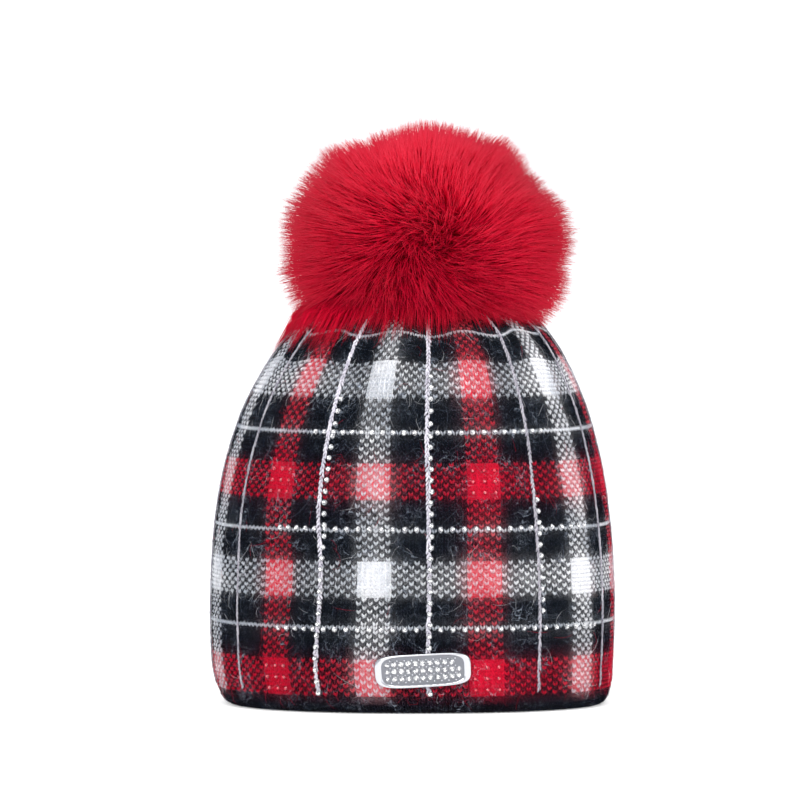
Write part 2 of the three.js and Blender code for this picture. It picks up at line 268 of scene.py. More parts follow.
def copies_object(name: str, points: np.ndarray, shape: Shape, smooth: bool = True) -> bpy.types.Object:
    """One mesh that joins many copies of a shape.

    Args:
        name: The object's name.
        points: The places of each copy's points, as copies by points by three.
        shape: The shape whose faces every copy has.
        smooth: Whether the faces are shaded smooth.

    Returns:
        The object, at the origin.
    """
    copies, corners = points.shape[:2]
    first = corners * np.arange(copies)[:, None, None]
    faces = (shape.faces[None] + first).reshape(-1, 3)
    return mesh_object(name, points.reshape(-1, 3), faces, smooth)


def point_attribute(made: bpy.types.Object, name: str, values: np.ndarray, domain: str = "POINT") -> None:
    """Stores a number on each point or face of a mesh for its material.

    Args:
        made: The mesh object.
        name: The attribute's name.
        values: One number for each element.
        domain: POINT or FACE.
    """
    attribute = made.data.attributes.new(name, "FLOAT", domain)
    attribute.data.foreach_set("value", np.ascontiguousarray(values, np.float32).ravel())


def strands_object(
    name: str, centres: np.ndarray, radii: np.ndarray, facing: np.ndarray, shape: Shape
) -> bpy.types.Object:
    """One mesh of many bent strands.

    Args:
        name: The object's name.
        centres: The middle of each strand at its spans, as strands by spans + 1 by three.
        radii: The strands' radii, as strands by spans + 1.
        facing: A direction for each strand that isn't along it.
        shape: The strand to bend, from strand_shape.

    Returns:
        The object, at the origin.
    """
    spans = centres.shape[1] - 1
    ways = np.empty_like(centres)
    ways[:, 0] = centres[:, 1] - centres[:, 0]
    ways[:, -1] = centres[:, -1] - centres[:, -2]
    if spans > 1:
        ways[:, 1:-1] = centres[:, 2:] - centres[:, :-2]
    ways = unit(ways)
    across = unit(np.cross(facing[:, None, :], ways))
    over = np.cross(ways, across)
    ring = np.rint(shape.points[:, 2]).astype(int)
    at = centres[:, ring]
    wide = radii[:, ring, None]
    side = shape.points[None, :, 0, None] * across[:, ring]
    lift = shape.points[None, :, 1, None] * over[:, ring]
    return copies_object(name, at + wide * (side + lift), shape)


# Node groups and finishes


class Graph:
    """A node tree with short calls for making and joining its nodes."""

    def __init__(self, tree: bpy.types.NodeTree) -> None:
        """Works on a tree that is already there."""
        self.tree = tree
        self.ins: bpy.types.NodeOutputs | None = None
        self.outs: bpy.types.NodeInputs | None = None

    @classmethod
    def group(cls, name: str, inputs: dict[str, str], outputs: dict[str, str]) -> "Graph":
        """A new shader node group.

        Args:
            name: The group's name.
            inputs: The socket type of each named input.
            outputs: The socket type of each named output.

        Returns:
            The graph, with its input and output nodes in place.
        """
        tree = bpy.data.node_groups.new(name, "ShaderNodeTree")
        for label, kind in inputs.items():
            tree.interface.new_socket(label, in_out="INPUT", socket_type=kind)
        for label, kind in outputs.items():
            tree.interface.new_socket(label, in_out="OUTPUT", socket_type=kind)
        graph = cls(tree)
        graph.ins = graph.node("NodeGroupInput").outputs
        graph.outs = graph.node("NodeGroupOutput").inputs
        return graph

    def node(self, kind: str, **settings: object) -> bpy.types.Node:
        """A new node of a kind, with its own settings."""
        made = self.tree.nodes.new(kind)
        for key, value in settings.items():
            setattr(made, key, value)
        return made

    def put(self, source: object, target: bpy.types.NodeSocket) -> None:
        """Joins an output socket, or sets a plain value, to an input socket."""
        if isinstance(source, bpy.types.NodeSocket):
            self.tree.links.new(source, target)
        else:
            target.default_value = source

    def math(self, operation: str, *values: object, clamp: bool = False) -> bpy.types.NodeSocket:
        """A sum of values or sockets.

        Args:
            operation: The Math node's operation.
            values: Its inputs in order.
            clamp: Whether the result is kept from 0 to 1.

        Returns:
            The result's socket.
        """
        made = self.node("ShaderNodeMath", operation=operation, use_clamp=clamp)
        for place, value in enumerate(values):
            self.put(value, made.inputs[place])
        return made.outputs[0]

    def blend(self, share: object, first: object, second: object, mode: str = "MIX") -> bpy.types.NodeSocket:
        """A mix of two colours.

        Args:
            share: How much of the second one.
            first: The first colour.
            second: The second colour.
            mode: The Mix node's blend type.

        Returns:
            The mixed colour's socket.
        """
        made = self.node("ShaderNodeMix", data_type="RGBA", blend_type=mode)
        self.put(share, made.inputs["Factor"])
        self.put(first, made.inputs[6])
        self.put(second, made.inputs[7])
        return made.outputs[2]

    def noise(self, place: object, scale: object, detail: float = 2.0) -> bpy.types.NodeSocket:
        """Soft noise of about 0 to 1 at a place."""
        made = self.node("ShaderNodeTexNoise")
        self.put(place, made.inputs["Vector"])
        self.put(scale, made.inputs["Scale"])
        made.inputs["Detail"].default_value = detail
        return made.outputs["Fac"]

    def ramp(self, value: object, stops: Sequence[tuple[float, tuple]], step: bool = False) -> bpy.types.NodeSocket:
        """A colour ramp.

        Args:
            value: What it is read at.
            stops: Places from 0 to 1 with their colours.
            step: Whether the colour jumps at each stop.

        Returns:
            The colour's socket.
        """
        made = self.node("ShaderNodeValToRGB")
        ramp = made.color_ramp
        ramp.interpolation = "CONSTANT" if step else "LINEAR"
        while len(ramp.elements) < len(stops):
            ramp.elements.new(0.5)
        for element, (place, colour) in zip(ramp.elements, stops):
            element.position = place
            element.color = colour
        self.put(value, made.inputs[0])
        return made.outputs[0]


COLOUR = "NodeSocketColor"
NUMBER = "NodeSocketFloat"
VECTOR = "NodeSocketVector"


def yarn_fibre_group() -> bpy.types.NodeTree:
    """Spun yarn: soft patches of a lighter and a darker shade, and fine fibre relief."""
    graph = Graph.group(
        "yarn_fibre",
        {"Place": VECTOR, "Colour": COLOUR, "Shade": COLOUR, "Patch Scale": NUMBER, "Fibre Scale": NUMBER},
        {"Colour": COLOUR, "Height": NUMBER},
    )
    patch = graph.noise(graph.ins["Place"], graph.ins["Patch Scale"], 3)
    fibre = graph.noise(graph.ins["Place"], graph.ins["Fibre Scale"], 2)
    share = graph.math("ADD", graph.math("MULTIPLY", patch, 0.55), graph.math("MULTIPLY", fibre, 0.55))
    share = graph.math("MULTIPLY_ADD", share, 2.6, -0.95, clamp=True)
    graph.put(graph.blend(share, graph.ins["Shade"], graph.ins["Colour"]), graph.outs["Colour"])
    graph.put(fibre, graph.outs["Height"])
    return graph.tree


def brushed_group() -> bpy.types.NodeTree:
    """A yarn's colour under the loose fibre of the white and red stitches round it."""
    graph = Graph.group(
        "brushed",
        {
            "Colour": COLOUR,
            "White": COLOUR,
            "White Fibre": NUMBER,
            "White Cover": NUMBER,
            "Red": COLOUR,
            "Red Fibre": NUMBER,
            "Red Cover": NUMBER,
        },
        {"Colour": COLOUR},
    )
    red = graph.math("MULTIPLY", graph.ins["Red Fibre"], graph.ins["Red Cover"], clamp=True)
    white = graph.math("MULTIPLY", graph.ins["White Fibre"], graph.ins["White Cover"], clamp=True)
    tinted = graph.blend(red, graph.ins["Colour"], graph.ins["Red"])
    graph.put(graph.blend(white, tinted, graph.ins["White"]), graph.outs["Colour"])
    return graph.tree


def mist_group() -> bpy.types.NodeTree:
    """Loose fibre over a surface: how much a soft mist covers, with a fine web of single hairs in it."""
    graph = Graph.group(
        "mist",
        {
            "Place": VECTOR,
            "Scale": NUMBER,
            "Low": NUMBER,
            "High": NUMBER,
            "Colour": COLOUR,
            "Hair Colour": COLOUR,
            "Hair Cover": NUMBER,
        },
        {"Colour": COLOUR, "Cover": NUMBER},
    )
    curls = graph.node("ShaderNodeTexNoise")
    graph.put(graph.ins["Place"], curls.inputs["Vector"])
    graph.put(graph.ins["Scale"], curls.inputs["Scale"])
    curls.inputs["Detail"].default_value = 3.0
    curls.inputs["Roughness"].default_value = 0.65
    curls.inputs["Distortion"].default_value = 2.5
    share = graph.math("MULTIPLY_ADD", curls.outputs["Fac"], 3.0, -1.0, clamp=True)
    gap = graph.math("SUBTRACT", graph.ins["High"], graph.ins["Low"])
    soft = graph.math("MULTIPLY_ADD", share, gap, graph.ins["Low"])
    hairs = []
    for finer, turned, shift, thin in ((0.36, 1.6, 3.0, 130.0), (0.62, 1.2, 7.0, 85.0)):
        moved = graph.node("ShaderNodeVectorMath", operation="ADD")
        graph.put(graph.ins["Place"], moved.inputs[0])
        moved.inputs[1].default_value = (shift, shift / 2, -shift)
        lines = graph.node("ShaderNodeTexNoise")
        graph.put(moved.outputs[0], lines.inputs["Vector"])
        graph.put(graph.math("MULTIPLY", graph.ins["Scale"], finer), lines.inputs["Scale"])
        lines.inputs["Detail"].default_value = 1.0
        lines.inputs["Distortion"].default_value = turned
        level = graph.math("ABSOLUTE", graph.math("SUBTRACT", lines.outputs["Fac"], 0.5))
        hair = graph.math("SUBTRACT", 1.0, graph.math("MULTIPLY", level, thin), clamp=True)
        broken = graph.noise(moved.outputs[0], graph.math("MULTIPLY", graph.ins["Scale"], finer * 0.6), 0.0)
        hairs.append(graph.math("MULTIPLY", hair, graph.math("MULTIPLY_ADD", broken, 6.0, -2.9, clamp=True)))
    web = graph.math("MAXIMUM", *hairs)
    graph.put(graph.blend(web, graph.ins["Colour"], graph.ins["Hair Colour"]), graph.outs["Colour"])
    cover = graph.math("MAXIMUM", soft, graph.math("MULTIPLY", web, graph.ins["Hair Cover"]))
    graph.put(cover, graph.outs["Cover"])
    return graph.tree


def tartan_chart_group() -> bpy.types.NodeTree:
    """The tartan's ground colour at a place counted in knit columns and rows."""
    graph = Graph.group(
        "tartan_chart",
        {"Chart": VECTOR, "Black": COLOUR, "White": COLOUR, "Red": COLOUR},
        {"Colour": COLOUR},
    )
    split = graph.node("ShaderNodeSeparateXYZ")
    graph.put(graph.ins["Chart"], split.inputs[0])
    none, red, white = (0, 0, 0, 1), (1, 0, 0, 1), (0, 1, 0, 1)
    bars = ((0, none), (7.0 / 38, red), (13.0 / 38, none), (26.0 / 38, white), (32.0 / 38, none))
    bands = ((0, none), (8.0 / 48, white), (17.0 / 48, none), (32.0 / 48, red), (41.0 / 48, none))
    column = graph.math("ADD", graph.math("MULTIPLY", split.outputs[0], 228.0 / 38), 0.5 / 38)
    row = graph.math("ADD", graph.math("MULTIPLY", split.outputs[1], 144.0 / 48), 26.5 / 48)
    over = graph.ramp(graph.math("FRACT", column), bars, step=True)
    along = graph.ramp(graph.math("FRACT", row), bands, step=True)
    bar = graph.node("ShaderNodeSeparateColor")
    band = graph.node("ShaderNodeSeparateColor")
    graph.put(over, bar.inputs[0])
    graph.put(along, band.inputs[0])
    solid = graph.math("MULTIPLY", bar.outputs[1], band.outputs[1])
    bar_any = graph.math("ADD", bar.outputs[0], bar.outputs[1])
    band_any = graph.math("ADD", band.outputs[0], band.outputs[1])
    crossed = graph.math("SUBTRACT", graph.math("MULTIPLY", bar_any, band_any), solid, clamp=True)
    tinted = graph.blend(crossed, graph.ins["Black"], graph.ins["Red"])
    graph.put(graph.blend(solid, tinted, graph.ins["White"]), graph.outs["Colour"])
    return graph.tree


def knit_relief_group() -> bpy.types.NodeTree:
    """The height of rows of V-shaped stitches at a place counted in columns and rows."""
    graph = Graph.group("knit_relief", {"Chart": VECTOR, "Columns": NUMBER, "Rows": NUMBER}, {"Height": NUMBER})
    split = graph.node("ShaderNodeSeparateXYZ")
    graph.put(graph.ins["Chart"], split.inputs[0])
    column = graph.math("FRACT", graph.math("MULTIPLY", split.outputs[0], graph.ins["Columns"]))
    row = graph.math("MULTIPLY", split.outputs[1], graph.ins["Rows"])
    away = graph.math("MULTIPLY", graph.math("ABSOLUTE", graph.math("SUBTRACT", column, 0.5)), 2.0)
    wave = graph.math("FRACT", graph.math("SUBTRACT", row, graph.math("MULTIPLY", away, 0.8)))
    crest = graph.math("SINE", graph.math("MULTIPLY", wave, math.pi))
    ply = graph.math("SINE", graph.math("MULTIPLY", away, math.pi))
    graph.put(graph.math("MULTIPLY", crest, ply), graph.outs["Height"])
    return graph.tree


def fur_shade_group() -> bpy.types.NodeTree:
    """A dyed hair's colour from root to tip; the Tone input carries the strand's own tone together with painted light
    and shade, and sets how pale the hair gets.
    """
    graph = Graph.group(
        "fur_shade",
        {"Along": NUMBER, "Tone": NUMBER, "Root": COLOUR, "Middle": COLOUR, "Tip": COLOUR},
        {"Colour": COLOUR},
    )
    lower = graph.math("MULTIPLY", graph.ins["Along"], 1.9, clamp=True)
    upper = graph.math("MULTIPLY_ADD", graph.ins["Along"], 2.2, -1.2, clamp=True)
    # Tone carries painted light and shade with the strand's own tone: it sets how far a hair goes towards the middle
    # and tip colours.
    open_share = graph.math("MULTIPLY_ADD", graph.ins["Tone"], 1.1, 0.25, clamp=True)
    body = graph.blend(graph.math("MULTIPLY", lower, open_share), graph.ins["Root"], graph.ins["Middle"])
    light = graph.math("MULTIPLY", upper, graph.ins["Tone"], clamp=True)
    graph.put(graph.blend(light, body, graph.ins["Tip"]), graph.outs["Colour"])
    return graph.tree


def handled_group() -> bpy.types.NodeTree:
    """Roughness of a handled hard surface: faint smears between a low and a high value."""
    graph = Graph.group(
        "handled", {"Place": VECTOR, "Scale": NUMBER, "Low": NUMBER, "High": NUMBER}, {"Roughness": NUMBER}
    )
    smear = graph.noise(graph.ins["Place"], graph.ins["Scale"], 4)
    gap = graph.math("SUBTRACT", graph.ins["High"], graph.ins["Low"])
    graph.put(graph.math("MULTIPLY_ADD", smear, gap, graph.ins["Low"]), graph.outs["Roughness"])
    return graph.tree


@dataclass
class Groups:
    """The shared effects, each built once."""

    fibre: bpy.types.NodeTree = field(default_factory=yarn_fibre_group)
    brushed: bpy.types.NodeTree = field(default_factory=brushed_group)
    mist: bpy.types.NodeTree = field(default_factory=mist_group)
    chart: bpy.types.NodeTree = field(default_factory=tartan_chart_group)
    relief: bpy.types.NodeTree = field(default_factory=knit_relief_group)
    fur: bpy.types.NodeTree = field(default_factory=fur_shade_group)
    handled: bpy.types.NodeTree = field(default_factory=handled_group)


class Surface(Graph):
    """A material with its Principled shader."""

    def __init__(self, name: str, roughness: float = 0.5, metallic: float = 0.0, **values: float) -> None:
        """Makes the material.

        Args:
            name: The material's name.
            roughness: The shader's plain roughness.
            metallic: The shader's plain metallic share.
            values: Other plain values, with underscores for the spaces in a socket's name.
        """
        self.material = bpy.data.materials.new(name)
        self.material.use_nodes = True
        super().__init__(self.material.node_tree)
        self.shader = self.tree.nodes["Principled BSDF"]
        self.shader.inputs["Roughness"].default_value = roughness
        self.shader.inputs["Metallic"].default_value = metallic
        for key, value in values.items():
            self.shader.inputs[key.replace("_", " ")].default_value = value

    def place(self, kind: str = "Object") -> bpy.types.NodeSocket:
        """Object coordinates, or the piece's UV map."""
        return self.node("ShaderNodeTexCoord").outputs[kind]

    def effect(self, group: bpy.types.NodeTree, **values: object) -> bpy.types.Node:
        """Places a node group with its own values, underscores standing for spaces."""
        made = self.node("ShaderNodeGroup", node_tree=group)
        for key, value in values.items():
            self.put(value, made.inputs[key.replace("_", " ")])
        return made

    def stored(self, name: str) -> bpy.types.NodeSocket:
        """A number that the mesh holds on its points or faces."""
        return self.node("ShaderNodeAttribute", attribute_name=name).outputs["Fac"]

    def relief(self, height: bpy.types.NodeSocket, distance: float, strength: float) -> None:
        """Makes a height into the shader's normal."""
        bump = self.node("ShaderNodeBump")
        bump.inputs["Distance"].default_value = distance
        bump.inputs["Strength"].default_value = strength
        self.put(height, bump.inputs["Height"])
        self.put(bump.outputs["Normal"], self.shader.inputs["Normal"])


FIBRE_WHITE = linear(250, 250, 253)
FIBRE_RED = linear(216, 20, 56)


@dataclass(frozen=True)
class YarnFinish:
    """A brushed wool yarn. With a cover above 0 it also shows the fibre that its mesh says lies over it."""

    name: str
    colour: tuple[float, float, float, float]
    shade: tuple[float, float, float, float]
    white_cover: float = 0.0
    red_cover: float = 0.0
    sheen: float = 0.05
    roughness: float = 0.9
    patch_scale: float = 160.0
    fibre_scale: float = 1300.0

    def build(self, groups: Groups) -> bpy.types.Material:
        """The yarn's material."""
        surface = Surface(self.name, self.roughness, Sheen_Weight=self.sheen, Sheen_Roughness=0.45)
        surface.shader.inputs["Specular IOR Level"].default_value = 0.08
        surface.shader.inputs["Sheen Tint"].default_value = (0.62, 0.75, 1.0, 1.0)
        fibre = surface.effect(
            groups.fibre,
            Place=surface.place(),
            Colour=self.colour,
            Shade=self.shade,
            Patch_Scale=self.patch_scale,
            Fibre_Scale=self.fibre_scale,
        )
        shown = fibre.outputs["Colour"]
        if self.white_cover > 0:
            brushed = surface.effect(
                groups.brushed,
                Colour=shown,
                White=FIBRE_WHITE,
                White_Fibre=surface.stored("white_fibre"),
                White_Cover=self.white_cover,
                Red=FIBRE_RED,
                Red_Fibre=surface.stored("red_fibre"),
                Red_Cover=self.red_cover,
            )
            shown = brushed.outputs["Colour"]
        surface.put(shown, surface.shader.inputs["Base Color"])
        surface.relief(fibre.outputs["Height"], 0.15 * MM, 0.6)
        return surface.material


@dataclass(frozen=True)
class MistFinish:
    """The finest brushed fibre: a see-through mist in the colours of the stitches under it."""

    name: str
    dark: tuple[float, float, float, float]
    hair: tuple[float, float, float, float]
    hair_cover: float = 0.34
    low: float = 0.0
    high: float = 0.2

    def build(self, groups: Groups) -> bpy.types.Material:
        """The mist's material, which reads the fibre that its mesh stores."""
        surface = Surface(self.name, 1.0)
        surface.shader.inputs["Specular IOR Level"].default_value = 0.0
        brushed = surface.effect(
            groups.brushed,
            Colour=self.dark,
            White=FIBRE_WHITE,
            White_Fibre=surface.stored("white_fibre"),
            White_Cover=1.0,
            Red=FIBRE_RED,
            Red_Fibre=surface.stored("red_fibre"),
            Red_Cover=1.0,
        )
        mist = surface.effect(
            groups.mist,
            Place=surface.place(),
            Scale=300.0,
            Low=self.low,
            High=self.high,
            Colour=brushed.outputs["Colour"],
            Hair_Colour=self.hair,
            Hair_Cover=self.hair_cover,
        )
        surface.put(mist.outputs["Colour"], surface.shader.inputs["Base Color"])
        surface.put(mist.outputs["Cover"], surface.shader.inputs["Alpha"])
        return surface.material


@dataclass(frozen=True)
class GroundFinish:
    """The knit between the stitches, coloured by the tartan's chart."""

    name: str
    black: tuple[float, float, float, float]
    white: tuple[float, float, float, float]
    red: tuple[float, float, float, float]

    def build(self, groups: Groups) -> bpy.types.Material:
        """The ground's material, which reads the shell's own UV map."""
        surface = Surface(self.name, 0.95, Sheen_Weight=0.03, Sheen_Roughness=0.5)
        surface.shader.inputs["Specular IOR Level"].default_value = 0.1
        chart = surface.place("UV")
        colour = surface.effect(groups.chart, Chart=chart, Black=self.black, White=self.white, Red=self.red)
        surface.put(colour.outputs["Colour"], surface.shader.inputs["Base Color"])
        relief = surface.effect(groups.relief, Chart=chart, Columns=228.0, Rows=144.0)
        surface.relief(relief.outputs["Height"], 0.3 * MM, 0.7)
        return surface.material


@dataclass(frozen=True)
class LiningFinish:
    """The inside of the hat, plain dark knit."""

    name: str
    colour: tuple[float, float, float, float]
    shade: tuple[float, float, float, float]

    def build(self, groups: Groups) -> bpy.types.Material:
        """The lining's material."""
        surface = Surface(self.name, 0.95, Sheen_Weight=0.15, Sheen_Roughness=0.5)
        surface.shader.inputs["Specular IOR Level"].default_value = 0.1
        fibre = surface.effect(
            groups.fibre,
            Place=surface.place(),
            Colour=self.colour,
            Shade=self.shade,
            Patch_Scale=120.0,
            Fibre_Scale=900.0,
        )
        surface.put(fibre.outputs["Colour"], surface.shader.inputs["Base Color"])
        relief = surface.effect(groups.relief, Chart=surface.place("UV"), Columns=228.0, Rows=144.0)
        surface.relief(relief.outputs["Height"], 0.5 * MM, 1.0)
        return surface.material


@dataclass(frozen=True)
class FurFinish:
    """Dyed fox-like fur: deep at the roots and paler at the tips, as far as each strand's tone and painted light and
    shade let it.
    """

    name: str
    root: tuple[float, float, float, float]
    middle: tuple[float, float, float, float]
    tip: tuple[float, float, float, float]

    def build(self, groups: Groups) -> bpy.types.Material:
        """The fur's material, which reads what each strand's mesh stores."""
        surface = Surface(self.name, 0.6)
        surface.shader.inputs["Specular IOR Level"].default_value = 0.07
        shade = surface.effect(
            groups.fur,
            Along=surface.stored("along"),
            Tone=surface.stored("tone_and_painted_light"),
            Root=self.root,
            Middle=self.middle,
            Tip=self.tip,
        )
        surface.put(shade.outputs["Colour"], surface.shader.inputs["Base Color"])
        return surface.material


@dataclass(frozen=True)
class MetalFinish:
    """Polished silver-coloured metal with faint smears."""

    name: str
    colour: tuple[float, float, float, float]
    low: float = 0.12
    high: float = 0.3

    def build(self, groups: Groups) -> bpy.types.Material:
        """The metal's material."""
        surface = Surface(self.name, 0.2, 1.0)
        place = surface.place()
        handled = surface.effect(groups.handled, Place=place, Scale=260.0, Low=self.low, High=self.high)
        surface.put(handled.outputs["Roughness"], surface.shader.inputs["Roughness"])
        surface.shader.inputs["Base Color"].default_value = self.colour
        surface.relief(surface.noise(place, 900.0, 2), 0.02 * MM, 0.2)
        return surface.material


@dataclass(frozen=True)
class StoneFinish:
    """Cut glass on foil, with painted reflections: bright facets and dark ones side by side, and a painted glow on the
    brightest.
    """

    name: str
    bright: tuple[float, float, float, float]
    dark: tuple[float, float, float, float]
    glint: float = 0.35

    def build(self, groups: Groups) -> bpy.types.Material:
        """The stone's material, which reads each facet's painted reflection brightness."""
        surface = Surface(self.name, 0.06, 0.0, Transmission_Weight=0.15, Coat_Weight=0.6)
        surface.shader.inputs["IOR"].default_value = 1.6
        # Painted reflections: each facet's stored brightness blends the dark colour into the bright one.
        facet = surface.stored("facet")
        surface.put(surface.blend(facet, self.dark, self.bright), surface.shader.inputs["Base Color"])
        # Painted glint: the brightest facets glow by emission, though they are no lamp.
        glint = surface.math("MULTIPLY_ADD", facet, 2.0, -1.0, clamp=True)
        surface.put(surface.blend(glint, (0, 0, 0, 1), self.bright), surface.shader.inputs["Emission Color"])
        surface.shader.inputs["Emission Strength"].default_value = self.glint
        return surface.material


@dataclass(frozen=True)
class PlasticFinish:
    """Moulded plastic, faintly uneven."""

    name: str
    colour: tuple[float, float, float, float]
    worn: tuple[float, float, float, float]

    def build(self, groups: Groups) -> bpy.types.Material:
        """The plastic's material."""
        surface = Surface(self.name, 0.45)
        place = surface.place()
        handled = surface.effect(groups.handled, Place=place, Scale=300.0, Low=0.35, High=0.6)
        surface.put(handled.outputs["Roughness"], surface.shader.inputs["Roughness"])
        colour = surface.blend(surface.noise(place, 200.0, 3), self.colour, self.worn)
        surface.put(colour, surface.shader.inputs["Base Color"])
        surface.relief(surface.noise(place, 1500.0, 2), 0.05 * MM, 0.3)
        return surface.material


@dataclass
class Finishes:
    """Every finish of the hat, built from the shared groups."""

    groups: Groups
    black: bpy.types.Material = field(init=False)
    white: bpy.types.Material = field(init=False)
    red: bpy.types.Material = field(init=False)
    mist: bpy.types.Material = field(init=False)
    ground: bpy.types.Material = field(init=False)
    lining: bpy.types.Material = field(init=False)
    chain: bpy.types.Material = field(init=False)
    chain_soft: bpy.types.Material = field(init=False)
    hair_black: bpy.types.Material = field(init=False)
    hair_white: bpy.types.Material = field(init=False)
    hair_red: bpy.types.Material = field(init=False)
    hair_grey: bpy.types.Material = field(init=False)
    fur: bpy.types.Material = field(init=False)
    silver: bpy.types.Material = field(init=False)
    silver_dark: bpy.types.Material = field(init=False)
    clear_stone: bpy.types.Material = field(init=False)
    red_stone: bpy.types.Material = field(init=False)
    plastic: bpy.types.Material = field(init=False)

    def __post_init__(self) -> None:
        """Builds the materials."""
        groups = self.groups
        yarns = (
            YarnFinish("yarn_black", linear(8, 16, 28), linear(2, 6, 14), 0.06, 0.16, 0.0),
            YarnFinish("yarn_white", linear(190, 197, 208), linear(156, 165, 179), 1.12, 0.45),
            YarnFinish("yarn_red", linear(214, 12, 44), linear(164, 4, 30), 0.22, 0.3),
            YarnFinish("hair_black", linear(46, 58, 74), linear(16, 24, 36)),
            YarnFinish("hair_white", linear(250, 250, 252), linear(222, 224, 232)),
            YarnFinish("hair_red", linear(220, 30, 66), linear(180, 12, 44)),
            YarnFinish("hair_grey", linear(128, 137, 152), linear(74, 82, 96)),
            YarnFinish("yarn_chain", linear(230, 226, 234), linear(156, 152, 166)),
            YarnFinish("yarn_chain_soft", linear(206, 202, 210), linear(120, 117, 129)),
        )
        self.black, self.white, self.red, *hairs, self.chain, self.chain_soft = (yarn.build(groups) for yarn in yarns)
        self.hair_black, self.hair_white, self.hair_red, self.hair_grey = hairs
        self.mist = MistFinish("fibre_mist", linear(20, 28, 40), linear(176, 188, 206)).build(groups)
        self.ground = GroundFinish(
            "knit_ground", linear(5, 9, 16), linear(250, 250, 252), linear(214, 16, 52)
        ).build(groups)
        self.lining = LiningFinish("knit_lining", linear(24, 27, 33), linear(12, 14, 18)).build(groups)
        self.fur = FurFinish(
            "fur_red", linear(174, 0, 40), linear(202, 0, 40), linear(238, 64, 84)
        ).build(groups)
        self.silver = MetalFinish("metal_silver", linear(196, 197, 202)).build(groups)
        self.silver_dark = MetalFinish("metal_silver_dark", linear(124, 126, 132), 0.25, 0.5).build(groups)
        # The stones' bright and dark colours are painted reflections on their facets, and the bright one also glows as
        # a painted glint.
        self.clear_stone = StoneFinish("stone_clear", linear(255, 255, 255), linear(70, 74, 86)).build(groups)
        self.red_stone = StoneFinish("stone_red", linear(226, 40, 66), linear(92, 4, 20)).build(groups)
        self.plastic = PlasticFinish("plastic_black", linear(24, 26, 29), linear(48, 50, 54)).build(groups)


def dress(made: bpy.types.Object, material: bpy.types.Material, slot: Slot, *nodes: str) -> bpy.types.Object:
    """Gives a piece its material and its place in the frame.

    Args:
        made: The piece.
        material: Its material.
        slot: Not used.
        nodes: The CAD nodes that it stands for.

    Returns:
        The same piece.
    """
    if not made.data.materials:
        made.data.materials.append(material)
    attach(made, "root")
    if nodes:
        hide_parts(*nodes)
    made.data.calc_loop_triangles()
    LOG.info("%s: %d triangles", made.name, len(made.data.loop_triangles))
    return made


# The crown's form


class SmoothCurve:
    """A Catmull-Rom curve through points, read for whole arrays of parameters."""

    def __init__(self, points: np.ndarray, tension: float | None = None) -> None:
        """Prepares the curve.

        Args:
            points: The points, one a row.
            tension: The share of a chord that its tangent takes, or None for centripetal spacing.
        """
        held = np.vstack([2 * points[0] - points[1], points, 2 * points[-1] - points[-2]])
        a, b, c, d = held[:-3], held[1:-2], held[2:-1], held[3:]
        if tension is None:
            before, here, after = (np.sqrt(np.linalg.norm(q - p, axis=1))[:, None] for p, q in ((a, b), (b, c), (c, d)))
            leave = ((b - a) / before - (c - a) / (before + here) + (c - b) / here) * here
            arrive = ((c - b) / here - (d - b) / (here + after) + (d - c) / after) * here
        else:
            leave, arrive = tension * (c - a), tension * (d - b)
        self.terms = (b, leave, 3 * (c - b) - 2 * leave - arrive, 2 * (b - c) + leave + arrive)
        self.spans = len(points) - 1

    def at(self, share: np.ndarray) -> np.ndarray:
        """The curve's points at shares of its parameter."""
        spot = np.clip(share, 0, 1) * self.spans
        span = np.minimum(spot.astype(int), self.spans - 1)
        t = (spot - span)[..., None]
        c0, c1, c2, c3 = (term[span] for term in self.terms)
        return c0 + t * (c1 + t * (c2 + t * c3))


# height, half width, lean, gather and round, as shares
CROWN_SECTIONS = (
    (0.0, 0.912, 0.018, 0.0, 0.0),
    (0.006, 0.936, 0.016, 0.0, 0.0),
    (0.02, 0.96, 0.012, 0.0, 0.0),
    (0.048, 0.977, 0.008, 0.0, 0.0),
    (0.1, 0.991, 0.0, 0.0, 0.0),
    (0.227, 1.0, 0.0, 0.0, 0.0),
    (0.343, 0.993, 0.0, 0.0, 0.0),
    (0.459, 0.973, 0.0, 0.0, 0.0),
    (0.575, 0.933, 0.003, 0.0, 0.0),
    (0.691, 0.866, 0.01, 0.05, 0.0),
    (0.749, 0.818, 0.015, 0.15, 0.0),
    (0.807, 0.759, 0.022, 0.35, 0.0),
    (0.866, 0.685, 0.03, 0.65, 0.05),
    (0.912, 0.605, 0.036, 1.0, 0.1),
    (0.95, 0.495, 0.04, 1.0, 0.25),
    (0.978, 0.36, 0.042, 0.8, 0.5),
    (0.994, 0.2, 0.042, 0.4, 0.85),
)


